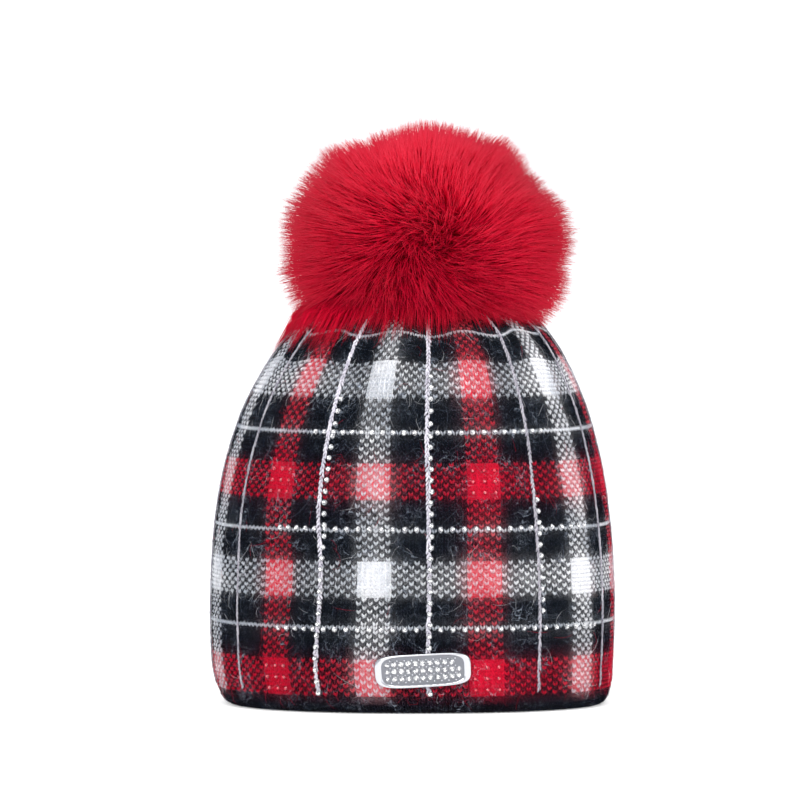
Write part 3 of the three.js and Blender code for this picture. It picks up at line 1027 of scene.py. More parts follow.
@dataclass
class CrownForm:
    """The crown's outside surface, with places given by a length round the girth and a rise from 0 to 1."""

    half_width: float = 88 * MM
    half_depth: float = 98.5 * MM
    height: float = 181 * MM
    wall: float = 3 * MM
    hem_thickness: float = 4.6 * MM
    hem_turn: float = 9 * MM
    girth_power: float = 2.2
    gather_depth: float = 1.5 * MM
    cords: int = 12
    first_cord: float = 7.7 * MM
    hole_radius: float = 2.3 * MM
    top_lean: float = 0.042
    samples: int = 720

    def __post_init__(self) -> None:
        """Prepares the two curves and the table of lengths round the girth."""
        hole = (1.0, self.hole_radius / self.half_width, self.top_lean, 0.0, 1.0)
        table = np.array([*CROWN_SECTIONS, hole])
        self.outline = SmoothCurve(table[:, [1, 0]] * [self.half_width, self.height])
        self.shape = SmoothCurve(table[:, 2:] * [self.half_width, self.gather_depth, 1], 0.2)
        self.angles = np.linspace(0, 2 * math.pi, self.samples + 1)
        ring = self.girth_radius(self.angles)[:, None] * self.direction(self.angles)
        steps = np.linalg.norm(np.diff(ring, axis=0), axis=1)
        self.lengths = np.concatenate([[0], np.cumsum(steps)])
        self.girth = float(self.lengths[-1])

    @staticmethod
    def direction(angle: np.ndarray) -> np.ndarray:
        """The level direction at an angle from the front towards +X."""
        return np.stack([np.sin(angle), -np.cos(angle)], axis=-1)

    def girth_radius(self, angle: np.ndarray) -> np.ndarray:
        """The widest ring's radius at an angle."""
        across = np.abs(np.sin(angle) / self.half_width) ** self.girth_power
        along = np.abs(np.cos(angle) / self.half_depth) ** self.girth_power
        return (across + along) ** (-1 / self.girth_power)

    def pleat(self, length: np.ndarray) -> np.ndarray:
        """1 at a cord and -1 half way between two."""
        return np.cos(2 * math.pi * self.cords * (length - self.first_cord) / self.girth)

    def point(self, length: np.ndarray, rise: np.ndarray) -> np.ndarray:
        """Points of the surface.

        Args:
            length: Lengths round the girth from the middle of the front.
            rise: Shares of the way up the outline.

        Returns:
            The points, three numbers each.
        """
        length, rise = np.broadcast_arrays(np.asarray(length, float), np.asarray(rise, float))
        outline, shape = self.outline.at(rise), self.shape.at(rise)
        angle = np.interp(np.mod(length, self.girth), self.lengths, self.angles)
        direction = self.direction(angle)
        half = outline[..., :1]
        wide = direction * self.girth_radius(angle)[..., None] * half / self.half_width
        circle = direction * half
        flat = wide + (circle - wide) * np.clip(shape[..., 2:3], 0, 1)
        pleat = self.pleat(length)[..., None]
        depth = np.maximum(0, shape[..., 1:2])
        flat = flat * (1 + depth * (pleat - 1) / (2 * np.maximum(half, self.gather_depth)))
        return np.concatenate([flat[..., :1] + shape[..., :1], flat[..., 1:], outline[..., 1:]], axis=-1)

    def axes(self, length: np.ndarray, rise: np.ndarray) -> tuple[np.ndarray, np.ndarray, np.ndarray]:
        """The ways round, up and out at points of the surface."""
        step = 1e-3
        around = step * self.girth
        low, high = np.maximum(0, rise - step), np.minimum(1, rise + step)
        turn = unit(self.point(length + around, rise) - self.point(length - around, rise))
        up = unit(self.point(length, high) - self.point(length, low))
        return turn, up, unit(np.cross(turn, up))

    def offset(self, length: np.ndarray, rise: np.ndarray, around: object, outward: object) -> np.ndarray:
        """Points moved round and out of the surface.

        Args:
            length: Lengths round the girth.
            rise: Shares of the way up the outline.
            around: How far each is moved round.
            outward: How far each is moved out.

        Returns:
            The moved points.
        """
        length, rise = np.broadcast_arrays(np.asarray(length, float), np.asarray(rise, float))
        turn, _, out = self.axes(length, rise)
        around, outward = np.asarray(around, float)[..., None], np.asarray(outward, float)[..., None]
        return self.point(length, rise) + turn * around + out * outward

    def inner(self, length: np.ndarray, rise: np.ndarray) -> np.ndarray:
        """Points of the crown's inside, level with the outside at the hem and below it at the hole."""
        length, rise = np.broadcast_arrays(np.asarray(length, float), np.asarray(rise, float))
        point = self.point(length, rise)
        _, _, out = self.axes(length, rise)
        turned = 1 - smoothstep(point[..., 2:3], 0, self.hem_turn)
        level = unit(out * [1, 1, 0])
        inward = unit(out + (level - out) * turned)
        moved = point - inward * (self.wall + (self.hem_thickness - self.wall) * turned)
        return np.where(rise[..., None] >= 1, point - [0, 0, self.wall], moved)

    def rise_at_height(self, height: np.ndarray) -> np.ndarray:
        """The rises at heights above the floor."""
        rises = np.linspace(0, 1, 4001)
        return np.interp(height, self.outline.at(rises)[:, 1], rises)

    def rise_at_radius(self, radius: float) -> float:
        """The rise above the widest ring at which the half width falls to a radius."""
        rises = np.linspace(0.4, 1, 4001)
        widths = self.outline.at(rises)[:, 0]
        return float(np.interp(-radius, -widths, rises))

    def top_height(self, x: np.ndarray, y: np.ndarray) -> np.ndarray:
        """How high the upper crown's outside stands under level places, or 0 beyond it."""
        rises = np.linspace(0.45, 1, 600)
        outline, shape = self.outline.at(rises), self.shape.at(rises)
        lean = self.top_lean * self.half_width
        angle = np.arctan2(x - lean, -y)
        distance = np.hypot(x - lean, y)
        stretch = self.girth_radius(angle) / self.half_width
        blend = np.clip(shape[:, 2], 0, 1)
        heights = np.zeros_like(distance)
        bins = np.linspace(1.0, self.half_depth / self.half_width + 1e-9, 25)
        for low, high in zip(bins[:-1], bins[1:]):
            held = (stretch >= low) & (stretch <= high)
            middle = (low + high) / 2
            reach = outline[:, 0] * (middle + (1 - middle) * blend)
            heights[held] = np.interp(-distance[held], -reach, outline[:, 1], left=0.0)
        return heights


@dataclass
class TartanChart:
    """Where each knit column and row lies, and which yarn its stitch shows."""

    form: CrownForm
    columns: int = 228
    knit_rows: int = 100
    first_plain_row: int = 6
    dip: float = 3.5 * MM
    anchors: tuple[tuple[float, float], ...] = ((0, 0.0), (22, 37.3), (46, 79.4), (70, 121.6), (94, 164.9))
    pull_rows: tuple[float, ...] = (9, 34, 58, 81)
    pull_columns: tuple[float, ...] = (-78, -57, -38, -28.5, -19, -9.5, 0, 9.5, 19, 28.5, 38, 57)
    pulls: tuple[tuple[float, ...], ...] = (
        (0, -4, 0.0, 0.5, -0.7, -0.4, -0.5, 0.2, 0.8, 3.6, 2.0, 0),
        (0, -5.5, -0.2, 1.4, 0.4, 0.0, -0.2, -0.4, 0.5, 2.9, 1.6, 0),
        (0, -2, -0.8, 0.0, -0.8, -0.6, -0.3, 0.3, 0.4, 2.3, 1.2, 0),
        (0, -4, -0.6, -0.7, -0.4, -1.4, -1.4, 0.5, 1.4, 1.9, 0.8, 0),
    )
    cord_pull: float = 0.6

    def __post_init__(self) -> None:
        """Measures the front outline and sets the rows along it."""
        self.column_width = self.form.girth / self.columns
        self.rises = np.linspace(0, 1, 4001)
        front = self.form.point(self.form.first_cord / 2, self.rises)
        self.arcs = np.concatenate([[0], np.cumsum(np.linalg.norm(np.diff(front, axis=0), axis=1))])
        rows = np.array([row for row, _ in self.anchors])
        heights = np.array([height for _, height in self.anchors]) * MM
        arcs = np.interp(heights, front[:, 2], self.arcs)
        pitch = (arcs[-1] - arcs[-2]) / (rows[-1] - rows[-2])
        self.top_row = float(rows[-1] + (self.arcs[-1] - arcs[-1]) / pitch)
        self.row_marks = np.append(rows, self.top_row)
        self.arc_marks = np.append(arcs, self.arcs[-1])

    def pull(self, column: np.ndarray, row: np.ndarray) -> np.ndarray:
        """How many columns the knit is pulled sideways, as it hangs a little unevenly at the front."""
        half = self.columns / 2
        wrapped = np.mod(column + half, self.columns) - half
        level = np.array([np.interp(wrapped, self.pull_columns, shifts, left=0, right=0) for shifts in self.pulls])
        place = np.clip(np.interp(row, self.pull_rows, np.arange(len(self.pull_rows))), 0, len(self.pull_rows) - 1)
        low = np.minimum(place.astype(int), len(self.pull_rows) - 2)
        share = place - low
        share = share * share * (3 - 2 * share)
        below = np.take_along_axis(level, low[None], axis=0)[0]
        above = np.take_along_axis(level, low[None] + 1, axis=0)[0]
        return below + (above - below) * share

    def cord_shift(self, column: np.ndarray, row: np.ndarray) -> np.ndarray:
        """How many columns a cord follows the knit's pull, which is only a little."""
        return np.clip(self.pull(column, row), -self.cord_pull, self.cord_pull)

    def spot(self, column: np.ndarray, row: np.ndarray) -> tuple[np.ndarray, np.ndarray]:
        """The length round the girth and the rise of places counted in columns and rows.

        Args:
            column: Columns from the first cord.
            row: Rows from the hem.

        Returns:
            The lengths and the rises. Rows dip at the cords where the knit is gathered.
        """
        column, row = np.broadcast_arrays(np.asarray(column, float), np.asarray(row, float))
        length = self.form.first_cord + (column + self.pull(column, row)) * self.column_width
        gathered = smoothstep(row, 76, 93) * (1 - smoothstep(row, 100, 112))
        dip = self.dip * gathered * (0.5 + 0.5 * self.form.pleat(length))
        arc = np.interp(row, self.row_marks, self.arc_marks) - dip
        return length, np.interp(arc, self.arcs, self.rises)

    def row_at(self, rise: np.ndarray) -> np.ndarray:
        """The row that lies at a rise, where no dip moves it."""
        return np.interp(np.interp(rise, self.rises, self.arcs), self.arc_marks, self.row_marks)

    def place(self, column: np.ndarray, row: np.ndarray, outward: object = 0.0) -> np.ndarray:
        """Points at places counted in columns and rows, moved out of the surface."""
        length, rise = self.spot(column, row)
        return self.form.offset(length, rise, 0.0, outward)

    def frame_at(self, column: np.ndarray, row: np.ndarray) -> tuple[np.ndarray, np.ndarray, np.ndarray]:
        """The ways round, up and out at places counted in columns and rows."""
        length, rise = self.spot(column, row)
        return self.form.axes(length, rise)

    def bar_kind(self, column: np.ndarray) -> np.ndarray:
        """The vertical bar at a column: 0 black, 1 white, 2 red, 3 a line."""
        c = np.mod(column, 38)
        kind = np.zeros_like(c)
        kind[(c >= 7) & (c <= 12)] = 2
        kind[(c >= 26) & (c <= 31)] = 1
        kind[(c == 0) | (c == 19)] = 3
        return kind

    def band_kind(self, row: np.ndarray) -> np.ndarray:
        """The level band at a row: 0 black, 1 white, 2 red, 3 a line."""
        r = np.mod(row - 22, 48)
        kind = np.zeros_like(r)
        kind[(r >= 8) & (r <= 16)] = 1
        kind[(r >= 32) & (r <= 40)] = 2
        kind[(r == 0) | (r == 24)] = 3
        return kind

    def yarns(self, column: np.ndarray, row: np.ndarray) -> np.ndarray:
        """The yarn that each stitch shows.

        Args:
            column: The stitches' columns, whole numbers.
            row: The stitches' rows, whole numbers.

        Returns:
            One of Yarn's values for each.
        """
        bar, band = self.bar_kind(column), self.band_kind(row)
        even = np.mod(column + row, 2) == 0
        yarn = np.zeros_like(bar)
        bar_colour = np.where(bar == 3, 0, bar)
        band_colour = np.where(band == 3, 0, band)
        yarn = np.where(even, bar_colour, band_colour)
        one_only = (bar_colour == 0) != (band_colour == 0)
        shown = np.where(bar_colour > 0, bar_colour, band_colour)
        yarn = np.where(one_only, np.where(even, shown, Yarn.BLACK), yarn)
        yarn = np.where(band == 3, Yarn.WHITE, yarn)
        return np.where(row < self.first_plain_row, Yarn.BLACK, yarn)


    def fibre_over(self, kind: Yarn, rng: np.random.Generator, wide: float, patchy: float) -> np.ndarray:
        """How much loose fibre of a yarn lies over each stitch: its own stitches, spread and made patchy.

        The upright bars shed more over the level bands than the other way round. Painted shade and light thin it
        towards the left side of the crown and thicken it towards the right.

        Args:
            kind: The yarn that sheds the fibre.
            rng: The source of chance.
            wide: The share of it that spreads over several stitches, not just to the next.
            patchy: How uneven it is.

        Returns:
            The shares, as rows by columns.
        """
        row, column = np.mgrid[-24 : self.knit_rows + 24, 0 : self.columns]
        own = (self.yarns(column, np.maximum(row, 0)) == kind).astype(float)
        bar, band = self.bar_kind(column), self.band_kind(row)
        if kind == Yarn.RED:
            own = own * np.where((bar == 2) & (band == 1), 2.3, 1.0)
        else:
            own = own * np.where((bar == 1) & (band == 2), 1.25, np.where((bar == 2) & (band == 1), 0.6, 1.0))
        # Painted shade and light: up to 30% less loose fibre towards the left side of the crown and more towards the
        # right, so the left reads darker.
        own = own * (1 + 0.3 * np.sin(2 * math.pi * (column + 8) / self.columns))
        wave_rows, wave_columns = np.fft.fftfreq(len(own))[:, None], np.fft.rfftfreq(self.columns)[None]

        def spread(field_values: np.ndarray, rows: float, columns: float) -> np.ndarray:
            """The values blurred by a bell of so many rows and columns."""
            bell = np.exp(-2 * math.pi**2 * ((wave_rows * rows) ** 2 + (wave_columns * columns) ** 2))
            return np.fft.irfft2(np.fft.rfft2(field_values) * bell, s=own.shape)

        patches = spread(rng.normal(size=own.shape), 3.2, 2.2)
        patches = np.clip(1 + patchy * patches / patches.std(), 0.25, 2.2)
        loose = ((1 - wide) * spread(own, 1.3, 1.0) + wide * spread(own, 4.2, 3.0)) * patches
        return np.clip(loose, 0, 1)[24:-24]


# Knit


@dataclass
class KnitBody:
    """The crown: a closed shell, the stitches on it and the brushed halo over them."""

    chart: TartanChart
    finishes: Finishes
    rng: np.random.Generator
    shell_columns: int = 152
    shell_sink: float = 0.3 * MM
    leg_low: tuple[float, float] = (-0.05, -0.52)
    leg_high: tuple[float, float] = (-0.4, 0.86)
    leg_half_width: float = 0.228
    crest: float = 0.5 * MM
    stray_hairs: int = 800
    mist_near: float = 0.62 * MM
    mist_far: float = 0.85 * MM

    def stations(self) -> list[tuple[bool, float]]:
        """The shell's rings in order: whether each is on the outside, and its row."""
        top = self.chart.top_row
        hem = [0.0, 0.5, 1.1, 2.0, 3.2]
        outside = hem + list(np.arange(4.8, 100, 1.6)) + list(np.linspace(101, top, 12))
        inside = list(np.linspace(top, 6, 34)) + [4.0, 2.0, 0.8, 0.0]
        return [(True, row) for row in outside] + [(False, row) for row in inside] + [(True, 0.0)]

    def build_shell(self) -> bpy.types.Object:
        """The crown's wall, hem and lining as one closed skin."""
        stations = self.stations()
        bm = bmesh.new()
        uv = bm.loops.layers.uv.new("UVMap")
        bmesh.ops.create_grid(bm, x_segments=self.shell_columns, y_segments=len(stations) - 1, size=0.5)
        across = np.array([v.co.x + 0.5 for v in bm.verts])
        upward = np.array([v.co.y + 0.5 for v in bm.verts]) * (len(stations) - 1)
        index = np.rint(upward).astype(int)
        outside = np.array([side for side, _ in stations])[index]
        row = np.array([r for _, r in stations])[index]
        length, rise = self.chart.spot(across * self.chart.columns, row)
        outer = self.chart.form.offset(length, rise, 0.0, -self.shell_sink)
        lining = self.chart.form.inner(length, rise)
        points = np.where(outside[:, None], outer, lining)
        points[:, 2] = np.maximum(points[:, 2], 0)
        last = len(stations) - 2
        for face in bm.faces:
            corners = [v.index for v in face.verts]
            face.smooth = True
            face.material_index = 0 if outside[corners].all() and index[corners].max() <= last else 1
            for loop in face.loops:
                spot = loop.vert.index
                loop[uv].uv = (across[spot], row[spot] / 144)
        for vert, point in zip(bm.verts, points):
            vert.co = point
        bmesh.ops.remove_doubles(bm, verts=bm.verts[:], dist=1e-6)
        bmesh.ops.recalc_face_normals(bm, faces=bm.faces[:])
        mesh = bpy.data.meshes.new("knit_shell")
        bm.to_mesh(mesh)
        bm.free()
        shell = bpy.data.objects.new("knit_shell", mesh)
        bpy.context.scene.collection.objects.link(shell)
        mesh.materials.append(self.finishes.ground)
        mesh.materials.append(self.finishes.lining)
        return dress(shell, self.finishes.ground, Slot.KNIT, "crown")

    def leg_places(self, shape: Shape, column: np.ndarray, row: np.ndarray, side: int, crest: float) -> np.ndarray:
        """The points of one leg of many stitches.

        Args:
            shape: The leg.
            column: The stitches' columns.
            row: The stitches' rows.
            side: -1 for the left leg and 1 for the right one.
            crest: How far the crest stands out.

        Returns:
            The legs' points, as stitches by points by three.
        """
        count = len(column)
        (u0, v0), (u1, v1) = self.leg_low, self.leg_high
        along, across, lift = shape.points[:, 1], shape.points[:, 0], shape.points[:, 2]
        swell = 1 + self.rng.normal(0, 0.07, (count, 1))
        shift = self.rng.normal(0, 0.035, (count, 2, 1))
        u = (u0 + u1) / 2 + along * (u1 - u0) / 2 + across * self.leg_half_width
        v = (v0 + v1) / 2 + along * (v1 - v0) / 2 + across * 0.06
        u = -side * u * swell + column[:, None] + shift[:, 0]
        v = v * swell + row[:, None] + shift[:, 1]
        out = lift * crest * swell - (1 - lift) * 0.22 * MM - (along > 0.9) * 0.12 * MM
        places = self.chart.place(u, np.maximum(v, 0.02), out)
        places[..., 2] = np.maximum(places[..., 2], 0.05 * MM)
        return places

    def build_stitches(self) -> list[bpy.types.Object]:
        """The knit stitches, one joined piece for each yarn."""
        leg, ridge = leg_shape(), ridge_shape()
        column, row = np.meshgrid(np.arange(self.chart.columns), np.arange(self.chart.knit_rows))
        column, row = column.ravel(), row.ravel()
        yarn = self.chart.yarns(column, row)
        loose = {kind: self.chart.fibre_over(kind, self.rng, 0.25, 0.45)[row, column] for kind in (Yarn.WHITE, Yarn.RED)}
        made = []
        looks = {
            Yarn.BLACK: ("knit_black", self.finishes.black, Slot.KNIT, ridge, 0.8),
            Yarn.WHITE: ("knit_white", self.finishes.white, Slot.WHITE_YARN, leg, 1.25),
            Yarn.RED: ("knit_red", self.finishes.red, Slot.RED_YARN, leg, 1.05),
        }
        for kind, (name, finish, slot, shape, raised) in looks.items():
            held = yarn == kind
            at = column[held], row[held]
            legs = [self.leg_places(shape, *at, side, self.crest * raised) for side in (-1, 1)]
            mirrored = Shape(shape.points, shape.faces[:, ::-1])
            left = copies_object(name, legs[0], shape)
            right = copies_object(name + "_right", legs[1], mirrored)
            joined = self.join(left, right)
            for fibre, kept in ((Yarn.WHITE, "white_fibre"), (Yarn.RED, "red_fibre")):
                over = np.repeat(loose[fibre][held], len(shape.points))
                over = over * self.rng.uniform(0.7, 1.3, len(over))
                point_attribute(joined, kept, np.tile(over, 2))
            made.append(dress(joined, finish, slot))
        return made

    @staticmethod
    def join(first: bpy.types.Object, second: bpy.types.Object) -> bpy.types.Object:
        """Joins a second mesh object into the first, keeping both meshes' attributes."""
        bm = bmesh.new()
        bm.from_mesh(first.data)
        bm.from_mesh(second.data)
        bm.to_mesh(first.data)
        bm.free()
        bpy.data.objects.remove(second)
        return first

    def build_halo(self) -> list[bpy.types.Object]:
        """Brushed hairs that lie over the knit, short ones and curls of each yarn, and longer strays."""
        looks = {
            Yarn.BLACK: ("black", self.finishes.hair_black, Slot.KNIT, 5000, 2600, 0),
            Yarn.WHITE: ("white", self.finishes.hair_white, Slot.WHITE_YARN, 8500, 2400, 150),
            Yarn.RED: ("red", self.finishes.hair_red, Slot.RED_YARN, 6500, 1500, 150),
        }
        made = []
        for kind, (name, finish, slot, short, curls, drift) in looks.items():
            root = self.hair_roots(kind, short, 0)
            made.append(dress(self.hairs(f"halo_{name}", root, (1.4, 4.0), 1, 0.9 * MM, 0.06 * MM), finish, slot))
            root = self.hair_roots(kind, curls, drift)
            made.append(dress(self.hairs(f"curls_{name}", root, (5.0, 12.0), 3, 1.1 * MM, 0.037 * MM), finish, slot))
        root = self.rng.uniform([0, 4], [self.chart.columns, 88], (self.stray_hairs, 2))
        strays = self.hairs("halo_stray", root, (6.0, 17.0), 5, 1.4 * MM, 0.04 * MM)
        made.append(dress(strays, self.finishes.hair_grey, Slot.WHITE_YARN))
        return made

    def build_mist(self) -> bpy.types.Object:
        """The finest fibre, as a thin closed skin just over the stitches."""
        outside = list(np.linspace(1.0, 97, 40))
        rows = outside + outside[::-2] + [1.0]
        outer = len(outside) - 1
        bm = bmesh.new()
        bmesh.ops.create_grid(bm, x_segments=114, y_segments=len(rows) - 1, size=0.5)
        column = (np.array([v.co.x for v in bm.verts]) + 0.5) * self.chart.columns
        ring = np.rint((np.array([v.co.y for v in bm.verts]) + 0.5) * (len(rows) - 1)).astype(int)
        row = np.array(rows)[ring]
        away = np.where((ring <= outer) | (ring == len(rows) - 1), self.mist_far, self.mist_near)
        for vert, point in zip(bm.verts, self.chart.place(column, row, away)):
            vert.co = point
        spot = np.rint(row).astype(int), np.mod(np.rint(column).astype(int), self.chart.columns)
        white = 0.6 * self.chart.fibre_over(Yarn.WHITE, self.rng, 0.04, 0.15)[spot]
        red = self.chart.fibre_over(Yarn.RED, self.rng, 0.06, 0.15)[spot]
        white_part = white / np.maximum(white + red, 1e-6)
        cover = np.clip(white / 0.6 + red, 0, 1) ** 2.3
        white_share = cover * white_part
        red_share = cover * (1 - white_part) / np.maximum(1 - white_share, 1e-6)
        for kept, shares in (("white_fibre", white_share), ("red_fibre", red_share)):
            layer = bm.verts.layers.float.new(kept)
            for vert, share in zip(bm.verts, shares):
                vert[layer] = share
        bmesh.ops.remove_doubles(bm, verts=bm.verts[:], dist=1e-6)
        bmesh.ops.recalc_face_normals(bm, faces=bm.faces[:])
        for face in bm.faces:
            face.smooth = True
        mesh = bpy.data.meshes.new("halo_mist")
        bm.to_mesh(mesh)
        bm.free()
        made = bpy.data.objects.new("halo_mist", mesh)
        bpy.context.scene.collection.objects.link(made)
        return dress(made, self.finishes.mist, Slot.KNIT)

    def hair_roots(self, kind: Yarn, count: int, drift: int) -> np.ndarray:
        """Columns and rows where hairs of a yarn start, few of them on the level lines, and some anywhere."""
        rng, chart = self.rng, self.chart
        tried = rng.uniform([0, 0.5], [chart.columns, 97], (count * 14, 2))
        near = np.rint(tried).astype(int)
        held = chart.yarns(near[:, 0], near[:, 1]) == kind
        held &= (chart.band_kind(near[:, 1]) != 3) | (rng.random(len(tried)) < 0.25)
        loose = rng.uniform([0, 3], [chart.columns, 97], (drift, 2))
        return np.concatenate([tried[held][:count], loose])

    def hairs(
        self, name: str, root: np.ndarray, reach: tuple[float, float], spans: int, lift: float, radius: float
    ) -> bpy.types.Object:
        """One joined piece of hairs.

        Args:
            name: The piece's name.
            root: The column and row of each root.
            reach: The shortest and the longest hair, in millimetres.
            spans: How many lengths each hair has.
            lift: How far out the highest hair rises.
            radius: The hairs' radius at the root.

        Returns:
            The piece.
        """
        column, row = root.T
        centres = self.hair_paths(column, row, self.rng.uniform(*reach, len(root)) * MM, spans, lift)
        taper = np.append(np.linspace(1, 0.75, spans), 0.0) * radius
        _, _, out = self.chart.frame_at(column, row)
        return strands_object(name, centres, np.tile(taper, (len(root), 1)), out, strand_shape(spans))

    def hair_paths(
        self, column: np.ndarray, row: np.ndarray, reach: np.ndarray, spans: int, lift: float
    ) -> np.ndarray:
        """Paths of hairs that lie along the knit.

        Args:
            column: The columns of their roots.
            row: The rows of their roots.
            reach: Their lengths.
            spans: How many lengths each path has.
            lift: How far out the highest hair rises.

        Returns:
            The paths, as hairs by spans + 1 by three.
        """
        rng, chart = self.rng, self.chart
        count = len(column)
        way = rng.uniform(0, 2 * math.pi, count)
        bend = rng.normal(0, 1.9, count)
        height = rng.uniform(0.25, 1.0, count) * lift
        places = [chart.place(column, row, np.full(count, 0.1 * MM))]
        u, v = column.copy(), row.copy()
        for span in range(1, spans + 1):
            turned = way + bend * (span - 0.5) / spans
            u = u + np.cos(turned) * reach / spans / chart.column_width
            v = np.clip(v + np.sin(turned) * reach / spans / (1.85 * MM), 0.3, 100)
            places.append(chart.place(u, v, 0.3 * MM + height * math.sin(0.9 * math.pi * span / spans / 1.3)))
        paths = np.stack(places, axis=1)
        paths[..., 2] = np.maximum(paths[..., 2], 0.2 * MM)
        return paths

    def build(self) -> None:
        """Builds the whole crown."""
        self.build_shell()
        self.build_stitches()
        self.build_mist()
        self.build_halo()


# Cords


@dataclass
class OvercheckCords:
    """The raised white lines of chain stitch that run up the crown."""

    chart: TartanChart
    finishes: Finishes
    rng: np.random.Generator
    start_height: float = 9.5 * MM
    end_radius: float = 15 * MM
    link_pitch: float = 2.1 * MM
    link_length: float = 3.0 * MM
    link_width: float = 1.0 * MM
    link_height: float = 1.2 * MM
    strand_gap: float = 0.95 * MM
    slant: float = 0.3
    plain_bold: float = 0.66
    fuzz_hairs: int = 130
    bold: dict[int, float] = field(default_factory=lambda: {0: 1.0, 1: 0.72, 10: 0.6, 11: 0.95})

    def path(self, index: int) -> tuple[np.ndarray, np.ndarray]:
        """The lengths round the girth and the rises of a cord's links."""
        chart, form = self.chart, self.chart.form
        column = index * chart.columns / form.cords
        rises = np.linspace(float(form.rise_at_height(self.start_height)), form.rise_at_radius(self.end_radius), 1500)
        shift = chart.cord_shift(np.full_like(rises, column), chart.row_at(rises))
        lengths = form.first_cord + (column + shift) * chart.column_width
        points = form.point(lengths, rises)
        arcs = np.concatenate([[0], np.cumsum(np.linalg.norm(np.diff(points, axis=0), axis=1))])
        count = int(arcs[-1] / self.link_pitch)
        marks = (np.arange(count) + 0.5) * arcs[-1] / count
        return np.interp(marks, arcs, lengths), np.interp(marks, arcs, rises)

    def build_cord(self, index: int) -> bpy.types.Object:
        """One cord, as slanting links side by side. Those away from the front are drawn in thinner."""
        form, rng = self.chart.form, self.rng
        length, rises = self.path(index)
        shape = bead_shape()
        bold = self.bold.get(index, self.plain_bold)
        turn, up, out = form.axes(length, rises)
        sets = []
        for side in (-1, 1):
            count = len(rises)
            tilt = side * self.slant + rng.normal(0, 0.1, count)
            wander = rng.normal(0, 0.12 * MM, count)
            along = up * np.cos(tilt)[:, None] - turn * np.sin(tilt)[:, None]
            across = np.cross(along, out)
            away = side * self.strand_gap / 2 * bold + wander
            middle = form.offset(length, rises, away, PIECE_GAP + self.link_height * 0.36)
            middle = middle + up * (side * self.link_pitch * 0.2)
            size = 1 + rng.normal(0, 0.09, (count, 1, 1))
            wide = self.link_width / 2 * bold
            scaled = shape.points * [wide, self.link_length / 2, self.link_height / 2 * bold]
            placed = (
                scaled[None, :, 0, None] * across[:, None, :]
                + scaled[None, :, 1, None] * along[:, None, :]
                + scaled[None, :, 2, None] * out[:, None, :]
            )
            sets.append(middle[:, None, :] + placed * size)
        name = f"chain_cord_{index + 1:02d}"
        made = copies_object(name, np.concatenate(sets), shape)
        finish = self.finishes.chain if bold > 0.9 else self.finishes.chain_soft
        return dress(made, finish, Slot.WHITE_YARN, f"overcheck_cord_{index + 1:02d}")

    def build_fuzz(self) -> bpy.types.Object:
        """The short loose fibre at both sides of the cords."""
        form, rng = self.chart.form, self.rng
        roots, tips, ways = [], [], []
        for index in range(form.cords):
            length, rises = self.path(index)
            picked = rng.integers(0, len(rises), self.fuzz_hairs)
            length, rises = length[picked] + rng.normal(0, 0.3 * MM, self.fuzz_hairs), rises[picked]
            turn, up, out = form.axes(length, rises)
            root = form.offset(length, rises, 0.0, rng.uniform(0.5, 1.1, self.fuzz_hairs) * MM)
            side = rng.choice([-1.0, 1.0], self.fuzz_hairs) * rng.uniform(0.6, 2.0, self.fuzz_hairs)
            reach = np.stack([side, rng.normal(0, 1.2, self.fuzz_hairs), rng.uniform(-0.3, 0.4, self.fuzz_hairs)]) * MM
            roots.append(root)
            tips.append(root + turn * reach[0][:, None] + up * reach[1][:, None] + out * reach[2][:, None])
            ways.append(out)
        centres = np.stack([np.concatenate(roots), np.concatenate(tips)], axis=1)
        radii = np.tile(np.array([0.055, 0.0]) * MM, (len(centres), 1))
        fuzz = strands_object("cord_fuzz", centres, radii, np.concatenate(ways), strand_shape(1))
        return dress(fuzz, self.finishes.hair_white, Slot.WHITE_YARN)

    def build(self) -> None:
        """Builds every cord and the fibre round them."""
        for index in range(self.chart.form.cords):
            self.build_cord(index)
        self.build_fuzz()


# Crystals


